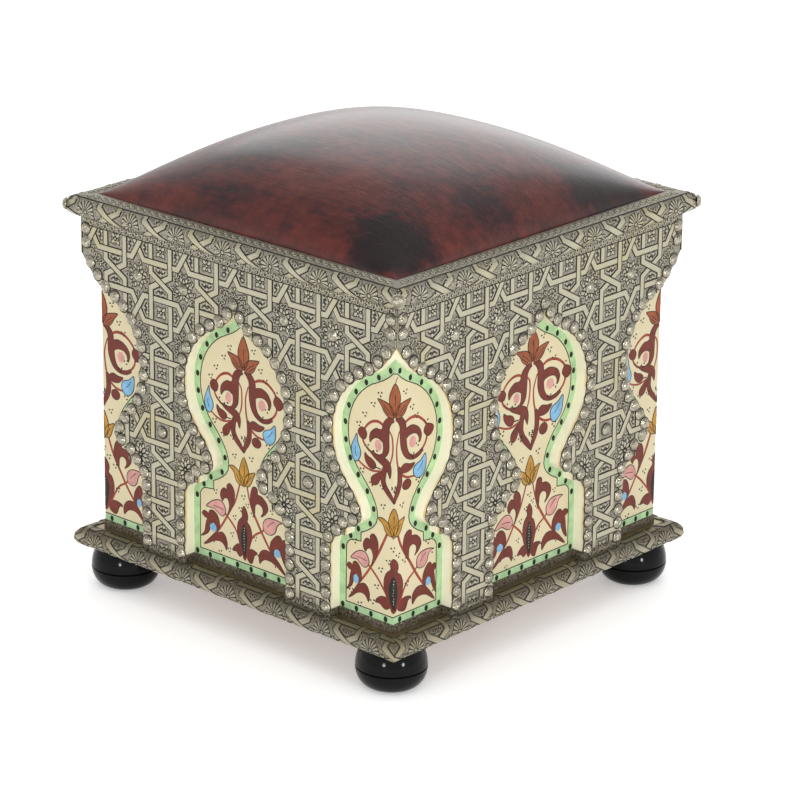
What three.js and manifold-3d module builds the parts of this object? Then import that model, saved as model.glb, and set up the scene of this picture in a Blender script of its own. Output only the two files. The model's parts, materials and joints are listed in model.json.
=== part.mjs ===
// Moroccan kursi stool: a painted wooden box wrapped in a metal-faced fretwork arcade, on four bun
// feet, with a bull-nosed top frame round a domed leather seat.
// Millimetres, +Z up. The origin is on the floor, under the middle of the stool.

import * as THREE from "three";
import { mergeVertices } from "three/addons/utils/BufferGeometryUtils.js";
import Module from "manifold-3d";

const wasm = await Module();
wasm.setup();

// Clearance round a cut, turned or soft piece
const fitGap = 0.3;
// How far a cutting shape runs past what it cuts
const overrun = 2;
// Nickel sheet on the wood
const sheetThick = 0.5;

// Painted box: half its width over the painted faces, its panels and the posts inside its corners
const coreHalf = 182.5;
const panelThick = 16;
const postWidth = 28;

// Fretwork arcade round the box
const arcadeThick = 12;
// Board left over the tips of the corner arches
const arcadeHeadroom = 35.3;

// Keyhole arch: half widths, and rises from the ledge up to its shoulders, the noses at its neck,
// the middle of its round bulb and its tip
const archFootHalf = 64;
const archShoulderRise = 66;
const archShoulderRadius = 17.5;
const archStepRise = 6.5;
const archNoseHalf = 27;
const archNoseRise = 15;
const archNoseEase = 7;
const archThroatEase = 11.4;
const archBulbRise = 73;
const archBulbRadius = 62.5;
const archBulbStart = THREE.MathUtils.degToRad(-43.5);
const archBulbEnd = THREE.MathUtils.degToRad(68);
const archTipEaseHalf = 8;
const archTipEaseRise = 64.5;
const archTipRise = 79;
// The corner arches bend round the box, so their tips end higher, on the arcade's own corner
const cornerTipRise = 93;
const archCurveSteps = 4;

// Base board and its round edge
const baseThick = 18;
const baseNoseReach = 8.6;
const roundEdgeSteps = 5;

// Top frame round the seat, and its flat lip from over the arcade's face in to the leather
const topThick = 20;
const topNoseReach = 9.9;
const topLipWidth = 11.3;

// Skirting strips at the foot of the niches
const skirtHeight = 8;
const skirtThick = 1;

// Bun feet, turned round
const footHeight = 38.5;
const footRadius = 32.1;
const footGrooveHeight = 19.4;
const footGrooveWidth = 1.6;
const footGrooveDepth = 1.2;
const footPadInset = 15.1;
const footNeckInset = 3.6;
// From the arcade's face in to the middle of a foot
const footInset = 25.5;
const footCurveSteps = 4;
const footTurnSteps = 20;

// Dowels that hold the feet
const dowelRadius = 6;
const dowelInFoot = 16;
const dowelInBase = 13;
const dowelChamfer = 1;
const dowelTurnSteps = 12;

// Leather seat: cover, foam and board
const leatherThick = 1.5;
// The turned-under edge of the leather stops short of the ledgers by this
const leatherEdgeGap = 1.5;
const crownHeight = 62;
const crownPower = 2.2;
const crownRoundness = 0.61;
const crownSteps = 16;
const seatBoardThick = 12;

// Ledgers that carry the seat, and their screws
const ledgerWidth = 22;
const ledgerHeight = 20;
const screwRadius = 2.2;
const screwInBoard = 9;
const screwHeadRadius = 4.5;
const screwHeadHeight = 3;
const screwTurnSteps = 12;

// Sizes that follow from the ones above
const arcadeInner = coreHalf;
const arcadeOuter = coreHalf + arcadeThick;
const fasciaHalf = arcadeOuter + sheetThick;
const panelInner = coreHalf - panelThick;
const seatOpeningHalf = fasciaHalf - topLipWidth;
const footCentre = fasciaHalf - footInset;
const postInner = panelInner - postWidth;
const archStepTop = archShoulderRise + archShoulderRadius + archStepRise;
const archNoseHeight = archStepTop + archNoseRise;
const archBulbHeight = archNoseHeight + archBulbRise;
const arcadeHeight = archBulbHeight + cornerTipRise + arcadeHeadroom;
const ledgeHeight = footHeight + baseThick;
const baseWoodTop = ledgeHeight - sheetThick;
const topBottom = ledgeHeight + arcadeHeight;
const topRim = topBottom + topThick;
const leatherHalf = seatOpeningHalf - fitGap;
const leatherBottom = topBottom + fitGap;
const coverInnerHalf = leatherHalf - leatherThick;
const coverInnerBottom = leatherBottom + leatherThick;
const coverInnerRim = topRim - leatherThick;
const seatBoardBottom = coverInnerBottom + fitGap;
const seatBoardTop = seatBoardBottom + seatBoardThick;
const seatBoardHalf = coverInnerHalf - fitGap;

// Finishes
const paintedCream = new THREE.MeshStandardMaterial({ color: "#E9DCB4", roughness: 0.6 });
const bareWood = new THREE.MeshStandardMaterial({ color: "#B98D5C", roughness: 0.8 });
const nickelSheet = new THREE.MeshStandardMaterial({ color: "#A6A28C", roughness: 0.35, metalness: 1 });
const blackLacquer = new THREE.MeshStandardMaterial({ color: "#151618", roughness: 0.15 });
const redLeather = new THREE.MeshStandardMaterial({ color: "#4A2226", roughness: 0.4 });
const paleFoam = new THREE.MeshStandardMaterial({ color: "#E6DDB8", roughness: 0.95 });
const plainSteel = new THREE.MeshStandardMaterial({ color: "#9A9B9D", roughness: 0.4, metalness: 1 });

// Indexed geometry from corner positions and triangles
function solidGeometry(positions, triangles) {
  const geometry = new THREE.BufferGeometry();
  geometry.setAttribute("position", new THREE.Float32BufferAttribute(positions, 3));
  geometry.setIndex(triangles);
  return geometry;
}

// Boolean solid from a geometry, with its shared corners merged
function toManifold(geometry) {
  const bare = geometry.clone();
  bare.deleteAttribute("normal");
  bare.deleteAttribute("uv");
  const merged = mergeVertices(bare);
  const vertProperties = new Float32Array(merged.attributes.position.array);
  const triVerts = new Uint32Array(merged.index.array);
  return new wasm.Manifold(new wasm.Mesh({ numProp: 3, vertProperties, triVerts }));
}

// Geometry from a boolean solid
function fromManifold(solid) {
  const mesh = solid.getMesh();
  return solidGeometry(Array.from(mesh.vertProperties), Array.from(mesh.triVerts));
}

// A geometry with others cut out of it
function cutFrom(geometry, cutters) {
  let solid = toManifold(geometry);
  for (const cutter of cutters) {
    solid = solid.subtract(toManifold(cutter));
  }
  return fromManifold(solid);
}

// Rectangular profile between two distances from the middle and two heights
function bandProfile(inner, outer, bottom, top) {
  return [
    new THREE.Vector2(inner, bottom),
    new THREE.Vector2(outer, bottom),
    new THREE.Vector2(outer, top),
    new THREE.Vector2(inner, top),
  ];
}

// Points of a full round edge, from its lowest point up round its nose to its highest
function roundEdgePoints(centre, bottom, top, reach) {
  const middle = (bottom + top) / 2;
  const rise = (top - bottom) / 2;
  const edge = new THREE.Path();
  edge.absellipse(centre, middle, reach, rise, -Math.PI / 2, Math.PI / 2);
  return edge.getPoints(roundEdgeSteps);
}

// A straight run along the front, mitred at both corners. The profile is anticlockwise, and its
// points hold the distance from the middle of the stool and the height.
function mitredRun(profile) {
  const count = profile.length;
  const positions = [];
  for (const side of [-1, 1]) {
    for (const point of profile) {
      positions.push(side * point.x, -point.x, point.y);
    }
  }
  const triangles = [];
  for (const [a, b, c] of THREE.ShapeUtils.triangulateShape(profile, [])) {
    triangles.push(a, b, c);
    triangles.push(count + a, count + c, count + b);
  }
  for (let i = 0; i < count; i += 1) {
    const j = (i + 1) % count;
    triangles.push(i, count + i, count + j);
    triangles.push(i, count + j, j);
  }
  return solidGeometry(positions, triangles);
}

// A square board whose edge follows a profile of distances and heights, from the bottom to the top
function squareBoard(profile) {
  const positions = [];
  for (const point of profile) {
    for (const [sideX, sideY] of [[-1, -1], [1, -1], [1, 1], [-1, 1]]) {
      positions.push(sideX * point.x, sideY * point.x, point.y);
    }
  }
  const triangles = [0, 2, 1, 0, 3, 2];
  const last = (profile.length - 1) * 4;
  triangles.push(last, last + 1, last + 2, last, last + 2, last + 3);
  for (let ring = 0; ring < last; ring += 4) {
    for (let side = 0; side < 4; side += 1) {
      const next = (side + 1) % 4;
      triangles.push(ring + side, ring + next, ring + 4 + next);
      triangles.push(ring + side, ring + 4 + next, ring + 4 + side);
    }
  }
  return solidGeometry(positions, triangles);
}

// Box between two opposite corners
function boxBetween(low, high) {
  const size = new THREE.Vector3().subVectors(high, low);
  const middle = new THREE.Vector3().addVectors(low, high).multiplyScalar(1 / 2);
  return new THREE.BoxGeometry(size.x, size.y, size.z).translate(middle.x, middle.y, middle.z);
}

// Upright round solid: its profile runs from the axis at the bottom to the axis at the top
function turned(profile, steps) {
  return new THREE.LatheGeometry(profile, steps).rotateX(Math.PI / 2);
}

// Upright cylinder between two heights, centred on the axis
function roundBar(radius, bottom, top, steps) {
  const profile = [
    new THREE.Vector2(0, bottom),
    new THREE.Vector2(radius, bottom),
    new THREE.Vector2(radius, top),
    new THREE.Vector2(0, top),
  ];
  return turned(profile, steps);
}

// Right half of the keyhole arch, from below the ledge up to its tip
function archHalfPoints(tipHalf, tipRise) {
  const shoulderHalf = archFootHalf - archShoulderRadius;
  const bulbStartHalf = archBulbRadius * Math.cos(archBulbStart);
  const bulbStartHeight = archBulbHeight + archBulbRadius * Math.sin(archBulbStart);
  const tipEaseHeight = archBulbHeight + archTipEaseRise;
  const half = new THREE.Path();
  half.moveTo(archFootHalf, -overrun);
  half.lineTo(archFootHalf, archShoulderRise);
  half.absarc(shoulderHalf, archShoulderRise, archShoulderRadius, 0, Math.PI / 2);
  half.lineTo(shoulderHalf, archStepTop);
  half.quadraticCurveTo(archNoseHalf, archNoseHeight - archNoseEase, archNoseHalf, archNoseHeight);
  half.quadraticCurveTo(
    archNoseHalf, archNoseHeight + archThroatEase, bulbStartHalf, bulbStartHeight,
  );
  half.absarc(0, archBulbHeight, archBulbRadius, archBulbStart, archBulbEnd);
  half.quadraticCurveTo(archTipEaseHalf, tipEaseHeight, tipHalf, archBulbHeight + tipRise);
  return half.getPoints(archCurveSteps);
}

// Whole arch in the middle of a face
function centreArchOutline() {
  const right = archHalfPoints(0, archTipRise);
  const left = right.slice(0, -1).reverse().map((point) => new THREE.Vector2(-point.x, point.y));
  return right.concat(left);
}

// Half arch at the right-hand corner of a face, centred on the corner of the painted box
function cornerArchOutline() {
  const tipHalf = coreHalf - fasciaHalf;
  const edge = archHalfPoints(tipHalf, cornerTipRise);
  const outline = edge.map((point) => new THREE.Vector2(coreHalf - point.x, point.y));
  outline.push(new THREE.Vector2(fasciaHalf + overrun, archBulbHeight + cornerTipRise));
  outline.push(new THREE.Vector2(fasciaHalf + overrun, -overrun));
  return outline;
}

// Cutter for an outline on the front face, deep enough for the whole arcade
function archCutter(outline) {
  const depth = arcadeThick + sheetThick + overrun * 2;
  const shape = new THREE.Shape(outline);
  const cutter = new THREE.ExtrudeGeometry(shape, { depth, bevelEnabled: false });
  return cutter.rotateX(Math.PI / 2).translate(0, overrun - coreHalf, ledgeHeight);
}

// Front arcade layer between two distances from the middle, with its three arches cut out
function arcadeLayer(inner, outer) {
  const blank = mitredRun(bandProfile(inner, outer, ledgeHeight, topBottom));
  const corner = cornerArchOutline();
  const oppositeCorner = corner.map((point) => new THREE.Vector2(-point.x, point.y));
  const outlines = [centreArchOutline(), corner, oppositeCorner];
  return cutFrom(blank, outlines.map(archCutter));
}

function panelGeometry() {
  return mitredRun(bandProfile(panelInner, coreHalf, baseWoodTop, topBottom));
}

function cornerPostGeometry() {
  const low = new THREE.Vector3(postInner, -panelInner, baseWoodTop);
  const high = new THREE.Vector3(panelInner, -postInner, seatBoardBottom);
  return boxBetween(low, high);
}

// Round-edged board under the box, with a hole for each foot dowel
function baseBoardGeometry() {
  const reach = baseNoseReach - sheetThick;
  const edge = roundEdgePoints(fasciaHalf, footHeight + sheetThick, baseWoodTop, reach);
  const profile = [new THREE.Vector2(fasciaHalf, footHeight), ...edge];
  const board = squareBoard(profile);
  const holeTop = footHeight + dowelInBase + fitGap;
  const holes = [];
  for (const sideX of [-1, 1]) {
    for (const sideY of [-1, 1]) {
      const hole = roundBar(dowelRadius + fitGap, footHeight - overrun, holeTop, dowelTurnSteps);
      holes.push(hole.translate(sideX * footCentre, sideY * footCentre, 0));
    }
  }
  return cutFrom(board, holes);
}

// Metal skin over a round edge, with a flat lip on top that runs in to a given distance
function edgeSheetGeometry(bottom, top, noseReach, lipInner) {
  const outside = roundEdgePoints(fasciaHalf, bottom, top, noseReach);
  const inside = roundEdgePoints(fasciaHalf, bottom + sheetThick, top - sheetThick, noseReach - sheetThick);
  const lip = [new THREE.Vector2(lipInner, top), new THREE.Vector2(lipInner, top - sheetThick)];
  return mitredRun([...outside, ...lip, ...inside.reverse()]);
}

function baseSheetGeometry() {
  return edgeSheetGeometry(footHeight, ledgeHeight, baseNoseReach, coreHalf);
}

function topSheetGeometry() {
  return edgeSheetGeometry(topBottom, topRim, topNoseReach, seatOpeningHalf);
}

function topRailGeometry() {
  const reach = topNoseReach - sheetThick;
  const edge = roundEdgePoints(fasciaHalf, topBottom + sheetThick, topRim - sheetThick, reach);
  const profile = [
    new THREE.Vector2(seatOpeningHalf, topBottom),
    new THREE.Vector2(fasciaHalf, topBottom),
    ...edge,
    new THREE.Vector2(seatOpeningHalf, topRim - sheetThick),
  ];
  return mitredRun(profile);
}

function skirtingStrip(plan) {
  const strip = new THREE.ExtrudeGeometry(new THREE.Shape(plan), { depth: skirtHeight, bevelEnabled: false });
  return strip.translate(0, 0, ledgeHeight);
}

// Strip along the foot of a niche, its ends turned out along the niche's sides
function nicheSkirtingGeometry() {
  const reach = archFootHalf - fitGap;
  const outer = coreHalf + skirtThick;
  return skirtingStrip([
    new THREE.Vector2(-reach, -fasciaHalf),
    new THREE.Vector2(skirtThick - reach, -fasciaHalf),
    new THREE.Vector2(skirtThick - reach, -outer),
    new THREE.Vector2(reach - skirtThick, -outer),
    new THREE.Vector2(reach - skirtThick, -fasciaHalf),
    new THREE.Vector2(reach, -fasciaHalf),
    new THREE.Vector2(reach, -coreHalf),
    new THREE.Vector2(-reach, -coreHalf),
  ]);
}

// The same, bent round the corner of the painted box
function cornerSkirtingGeometry() {
  const start = coreHalf - archFootHalf + fitGap;
  const outer = coreHalf + skirtThick;
  return skirtingStrip([
    new THREE.Vector2(start, -coreHalf),
    new THREE.Vector2(start, -fasciaHalf),
    new THREE.Vector2(start + skirtThick, -fasciaHalf),
    new THREE.Vector2(start + skirtThick, -outer),
    new THREE.Vector2(outer, -outer),
    new THREE.Vector2(outer, -start - skirtThick),
    new THREE.Vector2(fasciaHalf, -start - skirtThick),
    new THREE.Vector2(fasciaHalf, -start),
    new THREE.Vector2(coreHalf, -start),
    new THREE.Vector2(coreHalf, -coreHalf),
  ]);
}

// Turned bun with a groove at its belly and a socket for the dowel
function footGeometry() {
  const grooveBottom = footGrooveHeight - footGrooveWidth / 2;
  const grooveTop = footGrooveHeight + footGrooveWidth / 2;
  const padRadius = footRadius - footPadInset;
  const neckRadius = footRadius - footNeckInset;
  const profile = new THREE.Path();
  profile.moveTo(0, 0);
  profile.lineTo(padRadius, 0);
  profile.absellipse(padRadius, grooveBottom, footPadInset, grooveBottom, -Math.PI / 2, 0);
  profile.lineTo(footRadius - footGrooveDepth, footGrooveHeight);
  profile.absellipse(neckRadius, grooveTop, footNeckInset, footHeight - grooveTop, 0, Math.PI / 2);
  profile.lineTo(dowelRadius + fitGap, footHeight);
  profile.lineTo(dowelRadius + fitGap, footHeight - dowelInFoot - fitGap);
  profile.lineTo(0, footHeight - dowelInFoot - fitGap);
  return turned(profile.getPoints(footCurveSteps), footTurnSteps);
}

function footDowelGeometry() {
  const bottom = footHeight - dowelInFoot;
  const top = footHeight + dowelInBase;
  const profile = [
    new THREE.Vector2(0, bottom),
    new THREE.Vector2(dowelRadius - dowelChamfer, bottom),
    new THREE.Vector2(dowelRadius, bottom + dowelChamfer),
    new THREE.Vector2(dowelRadius, top - dowelChamfer),
    new THREE.Vector2(dowelRadius - dowelChamfer, top),
    new THREE.Vector2(0, top),
  ];
  return turned(profile, dowelTurnSteps);
}

// Height of the seat's crown over a square of a given half width, for shares of that half width
function crownAt(shareX, shareY) {
  const roundX = Math.pow(1 - Math.pow(Math.abs(shareX), crownPower), crownRoundness);
  const roundY = Math.pow(1 - Math.pow(Math.abs(shareY), crownPower), crownRoundness);
  return crownHeight * roundX * roundY;
}

// Square block with upright sides and a crowned top. Its grid is closer towards the edges, where
// the crown is steep.
function crownedBlock(half, bottom, rim) {
  const steps = crownSteps;
  const shares = [];
  for (let i = 0; i <= steps; i += 1) {
    shares.push(Math.sin((i / steps - 1 / 2) * Math.PI));
  }
  const positions = [];
  for (const shareY of shares) {
    for (const shareX of shares) {
      positions.push(shareX * half, shareY * half, rim + crownAt(shareX, shareY));
    }
  }
  const at = (i, j) => j * (steps + 1) + i;
  const triangles = [];
  for (let j = 0; j < steps; j += 1) {
    for (let i = 0; i < steps; i += 1) {
      triangles.push(at(i, j), at(i + 1, j), at(i + 1, j + 1));
      triangles.push(at(i, j), at(i + 1, j + 1), at(i, j + 1));
    }
  }
  const border = [];
  for (let i = 0; i < steps; i += 1) border.push(at(i, 0));
  for (let j = 0; j < steps; j += 1) border.push(at(steps, j));
  for (let i = steps; i > 0; i -= 1) border.push(at(i, steps));
  for (let j = steps; j > 0; j -= 1) border.push(at(0, j));
  const firstLow = positions.length / 3;
  for (const corner of border) {
    positions.push(positions[corner * 3], positions[corner * 3 + 1], bottom);
  }
  const middle = positions.length / 3;
  positions.push(0, 0, bottom);
  for (let i = 0; i < border.length; i += 1) {
    const j = (i + 1) % border.length;
    triangles.push(border[i], firstLow + i, firstLow + j);
    triangles.push(border[i], firstLow + j, border[j]);
    triangles.push(middle, firstLow + j, firstLow + i);
  }
  return solidGeometry(positions, triangles);
}

// Leather shell, open below inside its turned-under edge
function leatherCoverGeometry() {
  const outside = crownedBlock(leatherHalf, leatherBottom, topRim);
  const inside = crownedBlock(coverInnerHalf, coverInnerBottom, coverInnerRim);
  const mouthHalf = panelInner + leatherEdgeGap;
  const mouthLow = new THREE.Vector3(-mouthHalf, -mouthHalf, leatherBottom - overrun);
  const mouthHigh = new THREE.Vector3(mouthHalf, mouthHalf, coverInnerBottom + overrun);
  return cutFrom(outside, [inside, boxBetween(mouthLow, mouthHigh)]);
}

function foamPadGeometry() {
  return crownedBlock(seatBoardHalf, seatBoardTop + fitGap, coverInnerRim - fitGap);
}

// Middle of the front ledger, where its screw stands
const ledgerMiddle = panelInner - ledgerWidth / 2;
const ledgerBottom = seatBoardBottom - ledgerHeight;

function seatBoardGeometry() {
  const low = new THREE.Vector3(-seatBoardHalf, -seatBoardHalf, seatBoardBottom);
  const high = new THREE.Vector3(seatBoardHalf, seatBoardHalf, seatBoardTop);
  const holeTop = seatBoardBottom + screwInBoard + fitGap;
  const holes = [];
  for (const [shareX, shareY] of [[0, -1], [1, 0], [0, 1], [-1, 0]]) {
    const hole = roundBar(screwRadius + fitGap, seatBoardBottom - overrun, holeTop, screwTurnSteps);
    holes.push(hole.translate(shareX * ledgerMiddle, shareY * ledgerMiddle, 0));
  }
  return cutFrom(boxBetween(low, high), holes);
}

// Front ledger, with its screw hole
function seatLedgerGeometry() {
  const low = new THREE.Vector3(-postInner, -panelInner, ledgerBottom);
  const high = new THREE.Vector3(postInner, ledgerWidth - panelInner, seatBoardBottom);
  const holeBottom = ledgerBottom - overrun;
  const holeTop = seatBoardBottom + overrun;
  const hole = roundBar(screwRadius + fitGap, holeBottom, holeTop, screwTurnSteps);
  return cutFrom(boxBetween(low, high), [hole.translate(0, -ledgerMiddle, 0)]);
}

// Round-headed screw, its head seated under the ledger
function seatScrewGeometry() {
  const profile = [
    new THREE.Vector2(0, ledgerBottom - screwHeadHeight),
    new THREE.Vector2(screwHeadRadius, ledgerBottom - screwHeadHeight),
    new THREE.Vector2(screwHeadRadius, ledgerBottom),
    new THREE.Vector2(screwRadius, ledgerBottom),
    new THREE.Vector2(screwRadius, seatBoardBottom + screwInBoard),
    new THREE.Vector2(0, seatBoardBottom + screwInBoard),
  ];
  return turned(profile, screwTurnSteps).translate(0, -ledgerMiddle, 0);
}

// A named piece with its own material
function piece(name, geometry, material) {
  const mesh = new THREE.Mesh(geometry, material.clone());
  mesh.name = name;
  return mesh;
}

const stool = new THREE.Group();

// One piece for the whole stool, in the middle
stool.add(piece("base_board", baseBoardGeometry(), bareWood));
stool.add(piece("seat_board", seatBoardGeometry(), bareWood));
stool.add(piece("foam_pad", foamPadGeometry(), paleFoam));
stool.add(piece("leather_cover", leatherCoverGeometry(), redLeather));

// The pieces of the front face, turned a quarter at a time to make the other three
const facePieces = [
  ["panel", panelGeometry(), paintedCream],
  ["arcade", arcadeLayer(arcadeInner, arcadeOuter), paintedCream],
  ["arcade_sheet", arcadeLayer(arcadeOuter, fasciaHalf), nickelSheet],
  ["base_sheet", baseSheetGeometry(), nickelSheet],
  ["top_rail", topRailGeometry(), bareWood],
  ["top_sheet", topSheetGeometry(), nickelSheet],
  ["skirting", nicheSkirtingGeometry(), nickelSheet],
  ["seat_ledger", seatLedgerGeometry(), bareWood],
  ["seat_screw", seatScrewGeometry(), plainSteel],
];
["front", "right", "back", "left"].forEach((faceName, quarter) => {
  const face = new THREE.Group();
  face.rotation.z = quarter * Math.PI / 2;
  for (const [name, geometry, material] of facePieces) {
    face.add(piece(`${name}_${faceName}`, geometry, material));
  }
  stool.add(face);
});

// The pieces of the front right corner, turned a quarter at a time in the same way
const cornerPieces = [
  ["corner_post", cornerPostGeometry(), bareWood],
  ["corner_skirting", cornerSkirtingGeometry(), nickelSheet],
];
const footPieces = [
  ["foot", footGeometry(), blackLacquer],
  ["foot_dowel", footDowelGeometry(), bareWood],
];
["front_right", "back_right", "back_left", "front_left"].forEach((cornerName, quarter) => {
  const corner = new THREE.Group();
  corner.rotation.z = quarter * Math.PI / 2;
  for (const [name, geometry, material] of cornerPieces) {
    corner.add(piece(`${name}_${cornerName}`, geometry, material));
  }
  for (const [name, geometry, material] of footPieces) {
    const mesh = piece(`${name}_${cornerName}`, geometry, material);
    mesh.position.set(footCentre, -footCentre, 0);
    corner.add(mesh);
  }
  stool.add(corner);
});

export default stool;
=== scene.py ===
"""Looks of a square kursi stool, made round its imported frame.

Pressed nickel silver covers an arcade of keyhole arches and the round edges above and below it.
Painted panels stand behind the arches, dome nails follow every arch, a domed leather seat closes
the top and four turned feet carry it. Helpers work in millimetres; meshes are written in metres.
"""

import json
import math
from functools import partial

import bmesh
import bpy
from bpy.props import FloatProperty, FloatVectorProperty, IntProperty, PointerProperty
from mathutils import Matrix, Vector, geometry, noise


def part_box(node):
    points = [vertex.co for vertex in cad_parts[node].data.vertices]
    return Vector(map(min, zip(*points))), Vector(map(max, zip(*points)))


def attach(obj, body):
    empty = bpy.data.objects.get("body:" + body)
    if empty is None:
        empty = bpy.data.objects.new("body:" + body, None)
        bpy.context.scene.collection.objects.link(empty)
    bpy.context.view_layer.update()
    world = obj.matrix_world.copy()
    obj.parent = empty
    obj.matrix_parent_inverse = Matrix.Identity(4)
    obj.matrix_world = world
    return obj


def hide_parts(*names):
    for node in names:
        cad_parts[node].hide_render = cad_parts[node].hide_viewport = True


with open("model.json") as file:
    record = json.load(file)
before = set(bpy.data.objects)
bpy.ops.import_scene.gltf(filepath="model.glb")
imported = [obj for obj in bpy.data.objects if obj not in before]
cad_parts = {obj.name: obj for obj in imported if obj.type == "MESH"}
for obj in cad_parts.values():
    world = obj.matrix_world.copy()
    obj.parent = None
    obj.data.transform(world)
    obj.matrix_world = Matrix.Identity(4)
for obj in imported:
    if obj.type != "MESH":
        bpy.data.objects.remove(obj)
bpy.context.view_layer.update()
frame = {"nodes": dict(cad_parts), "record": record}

bl_info = {
    "name": "Kursi stool",
    "version": (1, 0, 0),
    "blender": (4, 5, 0),
    "location": "3D View > Sidebar > Kursi stool",
    "description": "Builds the finishes and ornament of a square kursi stool round its frame",
    "category": "Object",
}

MM = 0.001
SIDES = ("front", "right", "back", "left")
CORNERS = ("front_right", "back_right", "back_left", "front_left")


def top_of(node):
    """Highest corner of a frame node, in millimetres."""
    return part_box(node)[1] / MM


def foot_of(node):
    """Lowest corner of a frame node, in millimetres."""
    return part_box(node)[0] / MM


# Places that the frame sets
core_half = top_of("panel_front").x
fascia_half = top_of("arcade_sheet_front").x
board_face = top_of("arcade_front").x
ledge_height = foot_of("arcade_sheet_front").z
fascia_top = top_of("arcade_sheet_front").z
top_rim = top_of("top_sheet_front").z
top_reach = top_of("top_sheet_front").x
base_bottom = foot_of("base_sheet_front").z
base_reach = top_of("base_sheet_front").x
seat_opening = -top_of("top_sheet_front").y
leather_half = top_of("leather_cover").x
leather_bottom = foot_of("leather_cover").z
leather_top = top_of("leather_cover").z
foam_half = top_of("foam_pad").x
foam_bottom = foot_of("foam_pad").z
foam_top = top_of("foam_pad").z
foot_middle = (top_of("foot_front_right").x + foot_of("foot_front_right").x) / 2
foot_height = top_of("foot_front_right").z
skirting_top = top_of("skirting_front").z


def linear(text):
    """Linear RGBA of an sRGB hex colour."""
    shares = [int(text[i:i + 2], 16) / 255 for i in (1, 3, 5)]
    return (*[s / 12.92 if s <= 0.04045 else ((s + 0.055) / 1.055) ** 2.4 for s in shares], 1.0)


def length(name, description, millimetres):
    """A length property; its default is given in millimetres and kept in metres."""
    return FloatProperty(name=name, description=description, default=millimetres * MM, unit="LENGTH")


def tint(name, description, text):
    """A colour property from an sRGB hex value."""
    return FloatVectorProperty(name=name, description=description, default=linear(text), size=4,
                               subtype="COLOR", min=0.0, max=1.0)


class NicheSizes(bpy.types.PropertyGroup):
    foot_half: length("Foot half width", "Half width of the arch at the ledge", 64)
    shoulder_rise: length("Shoulder rise", "Height where the shoulder begins to round", 66)
    shoulder_radius: length("Shoulder radius", "Radius of the rounded shoulder", 17.5)
    step_rise: length("Step rise", "Upright step above the shoulder", 6.5)
    nose_half: length("Nose half width", "Half width at the narrowest place", 27)
    nose_rise: length("Nose rise", "Rise from the step to the narrowest place", 15)
    nose_ease: length("Nose ease", "How far the curve runs upright below the nose", 7)
    throat_ease: length("Throat ease", "How far the curve runs upright above the nose", 11.4)
    bulb_rise: length("Bulb rise", "Rise from the nose to the middle of the bulb", 73)
    bulb_radius: length("Bulb radius", "Radius of the round bulb", 62.5)
    bulb_start: FloatProperty(name="Bulb start", description="Angle where the bulb begins",
                              default=math.radians(-43.5), subtype="ANGLE")
    bulb_end: FloatProperty(name="Bulb end", description="Angle where the bulb ends",
                            default=math.radians(68), subtype="ANGLE")
    tip_ease_half: length("Tip ease half", "Distance of the tip's control point from the middle", 8)
    tip_ease_rise: length("Tip ease rise", "Rise of the tip's control point over the bulb's middle", 64.5)
    tip_rise: length("Tip rise", "Rise of the tip over the bulb's middle", 79)
    corner_tip_rise: length("Corner tip rise", "The same for the half arches at the corners", 93)
    border_width: length("Border width", "Width of the green border", 7.8)
    line_width: length("Line width", "Width of the thin black line inside the border", 0.9)
    dot_spacing: length("Dot spacing", "Distance between the dots of the border", 16.5)


class StrapSizes(bpy.types.PropertyGroup):
    strap_width: length("Strap width", "Width of the flat interlaced strap", 4.7)
    groove_width: length("Groove width", "Width of the groove beside a strap", 1.15)
    rim_inset: length("Rim inset", "From a strap's middle to the thin rim inside a cell", 4.4)
    rim_width: length("Rim width", "Width of that rim", 0.8)
    square_half: length("Square half", "Half side of a square cell, to the strap's middle", 12.3)
    square_half_up: length("Square half, upright", "Half height of a square cell", 11.9)
    bend_up: length("Bend, upright", "From a crossing's middle to the upright strap's bend", 7)
    bend_along: length("Bend, level", "From a crossing's middle to the level strap's bend", 7.5)
    pitch: length("Pitch", "Distance between cells along a side", 58.5)
    pitch_up: length("Pitch, upright", "Distance between cells going up", 57.4)
    middle_half: length("Middle half", "Distance of the two middle cells from the middle", 33)
    top_cell: length("Top cell", "From the pattern's top edge down to the top row's middle", 5)
    strap_height: length("Strap height", "How far the strap stands out", 0.6)
    rim_height: length("Rim height", "How far the thin rim stands out", 0.35)
    groove_depth: length("Groove depth", "How deep the groove is pressed", 0.25)
    # The form line is the width of the painted shadow round each raised form
    form_line: length("Form line", "Width of the dark line round a raised form", 0.65)
    band_height: length("Band height", "Height of the scrolled band over the pattern", 8)


class NailSizes(bpy.types.PropertyGroup):
    width: length("Nail width", "Across a nail's head", 12)
    # The nail line is the width of the painted shadow round each nail
    line: length("Nail line", "Width of the dirt line round a nail", 0.35)
    apart: length("Apart", "Half the gap between the two nails at an arch's point", 6)
    height: length("Nail height", "Height of its dome", 3.6)
    lowest: length("Lowest nail", "Height of the lowest nails over the ledge", 9)
    spacing: length("Nail spacing", "Between neighbours along an arch", 13.4)
    inset: length("Nail inset", "From the arch's edge to the line of nails", 5.4)
    seed: IntProperty(name="Seed", description="Seed of the nails' uneven setting", default=7)


class SeatSizes(bpy.types.PropertyGroup):
    power: FloatProperty(name="Crown power", description="How square the crown's plan is", default=2.2)
    roundness: FloatProperty(name="Crown roundness", description="How full its edges are",
                             default=0.61, subtype="FACTOR")
    steps: IntProperty(name="Steps", description="Faces across the seat", default=72)
    thickness: length("Leather thickness", "Thickness of the hide", 1.5)
    lip: length("Turned lip", "Hide turned under the seat board", 12)
    swell: length("Swell", "Most that the simulation may lift the hide", 2.5)
    pressure: FloatProperty(name="Pressure", description="Pressure of the foam on the hide", default=2.0)


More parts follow.
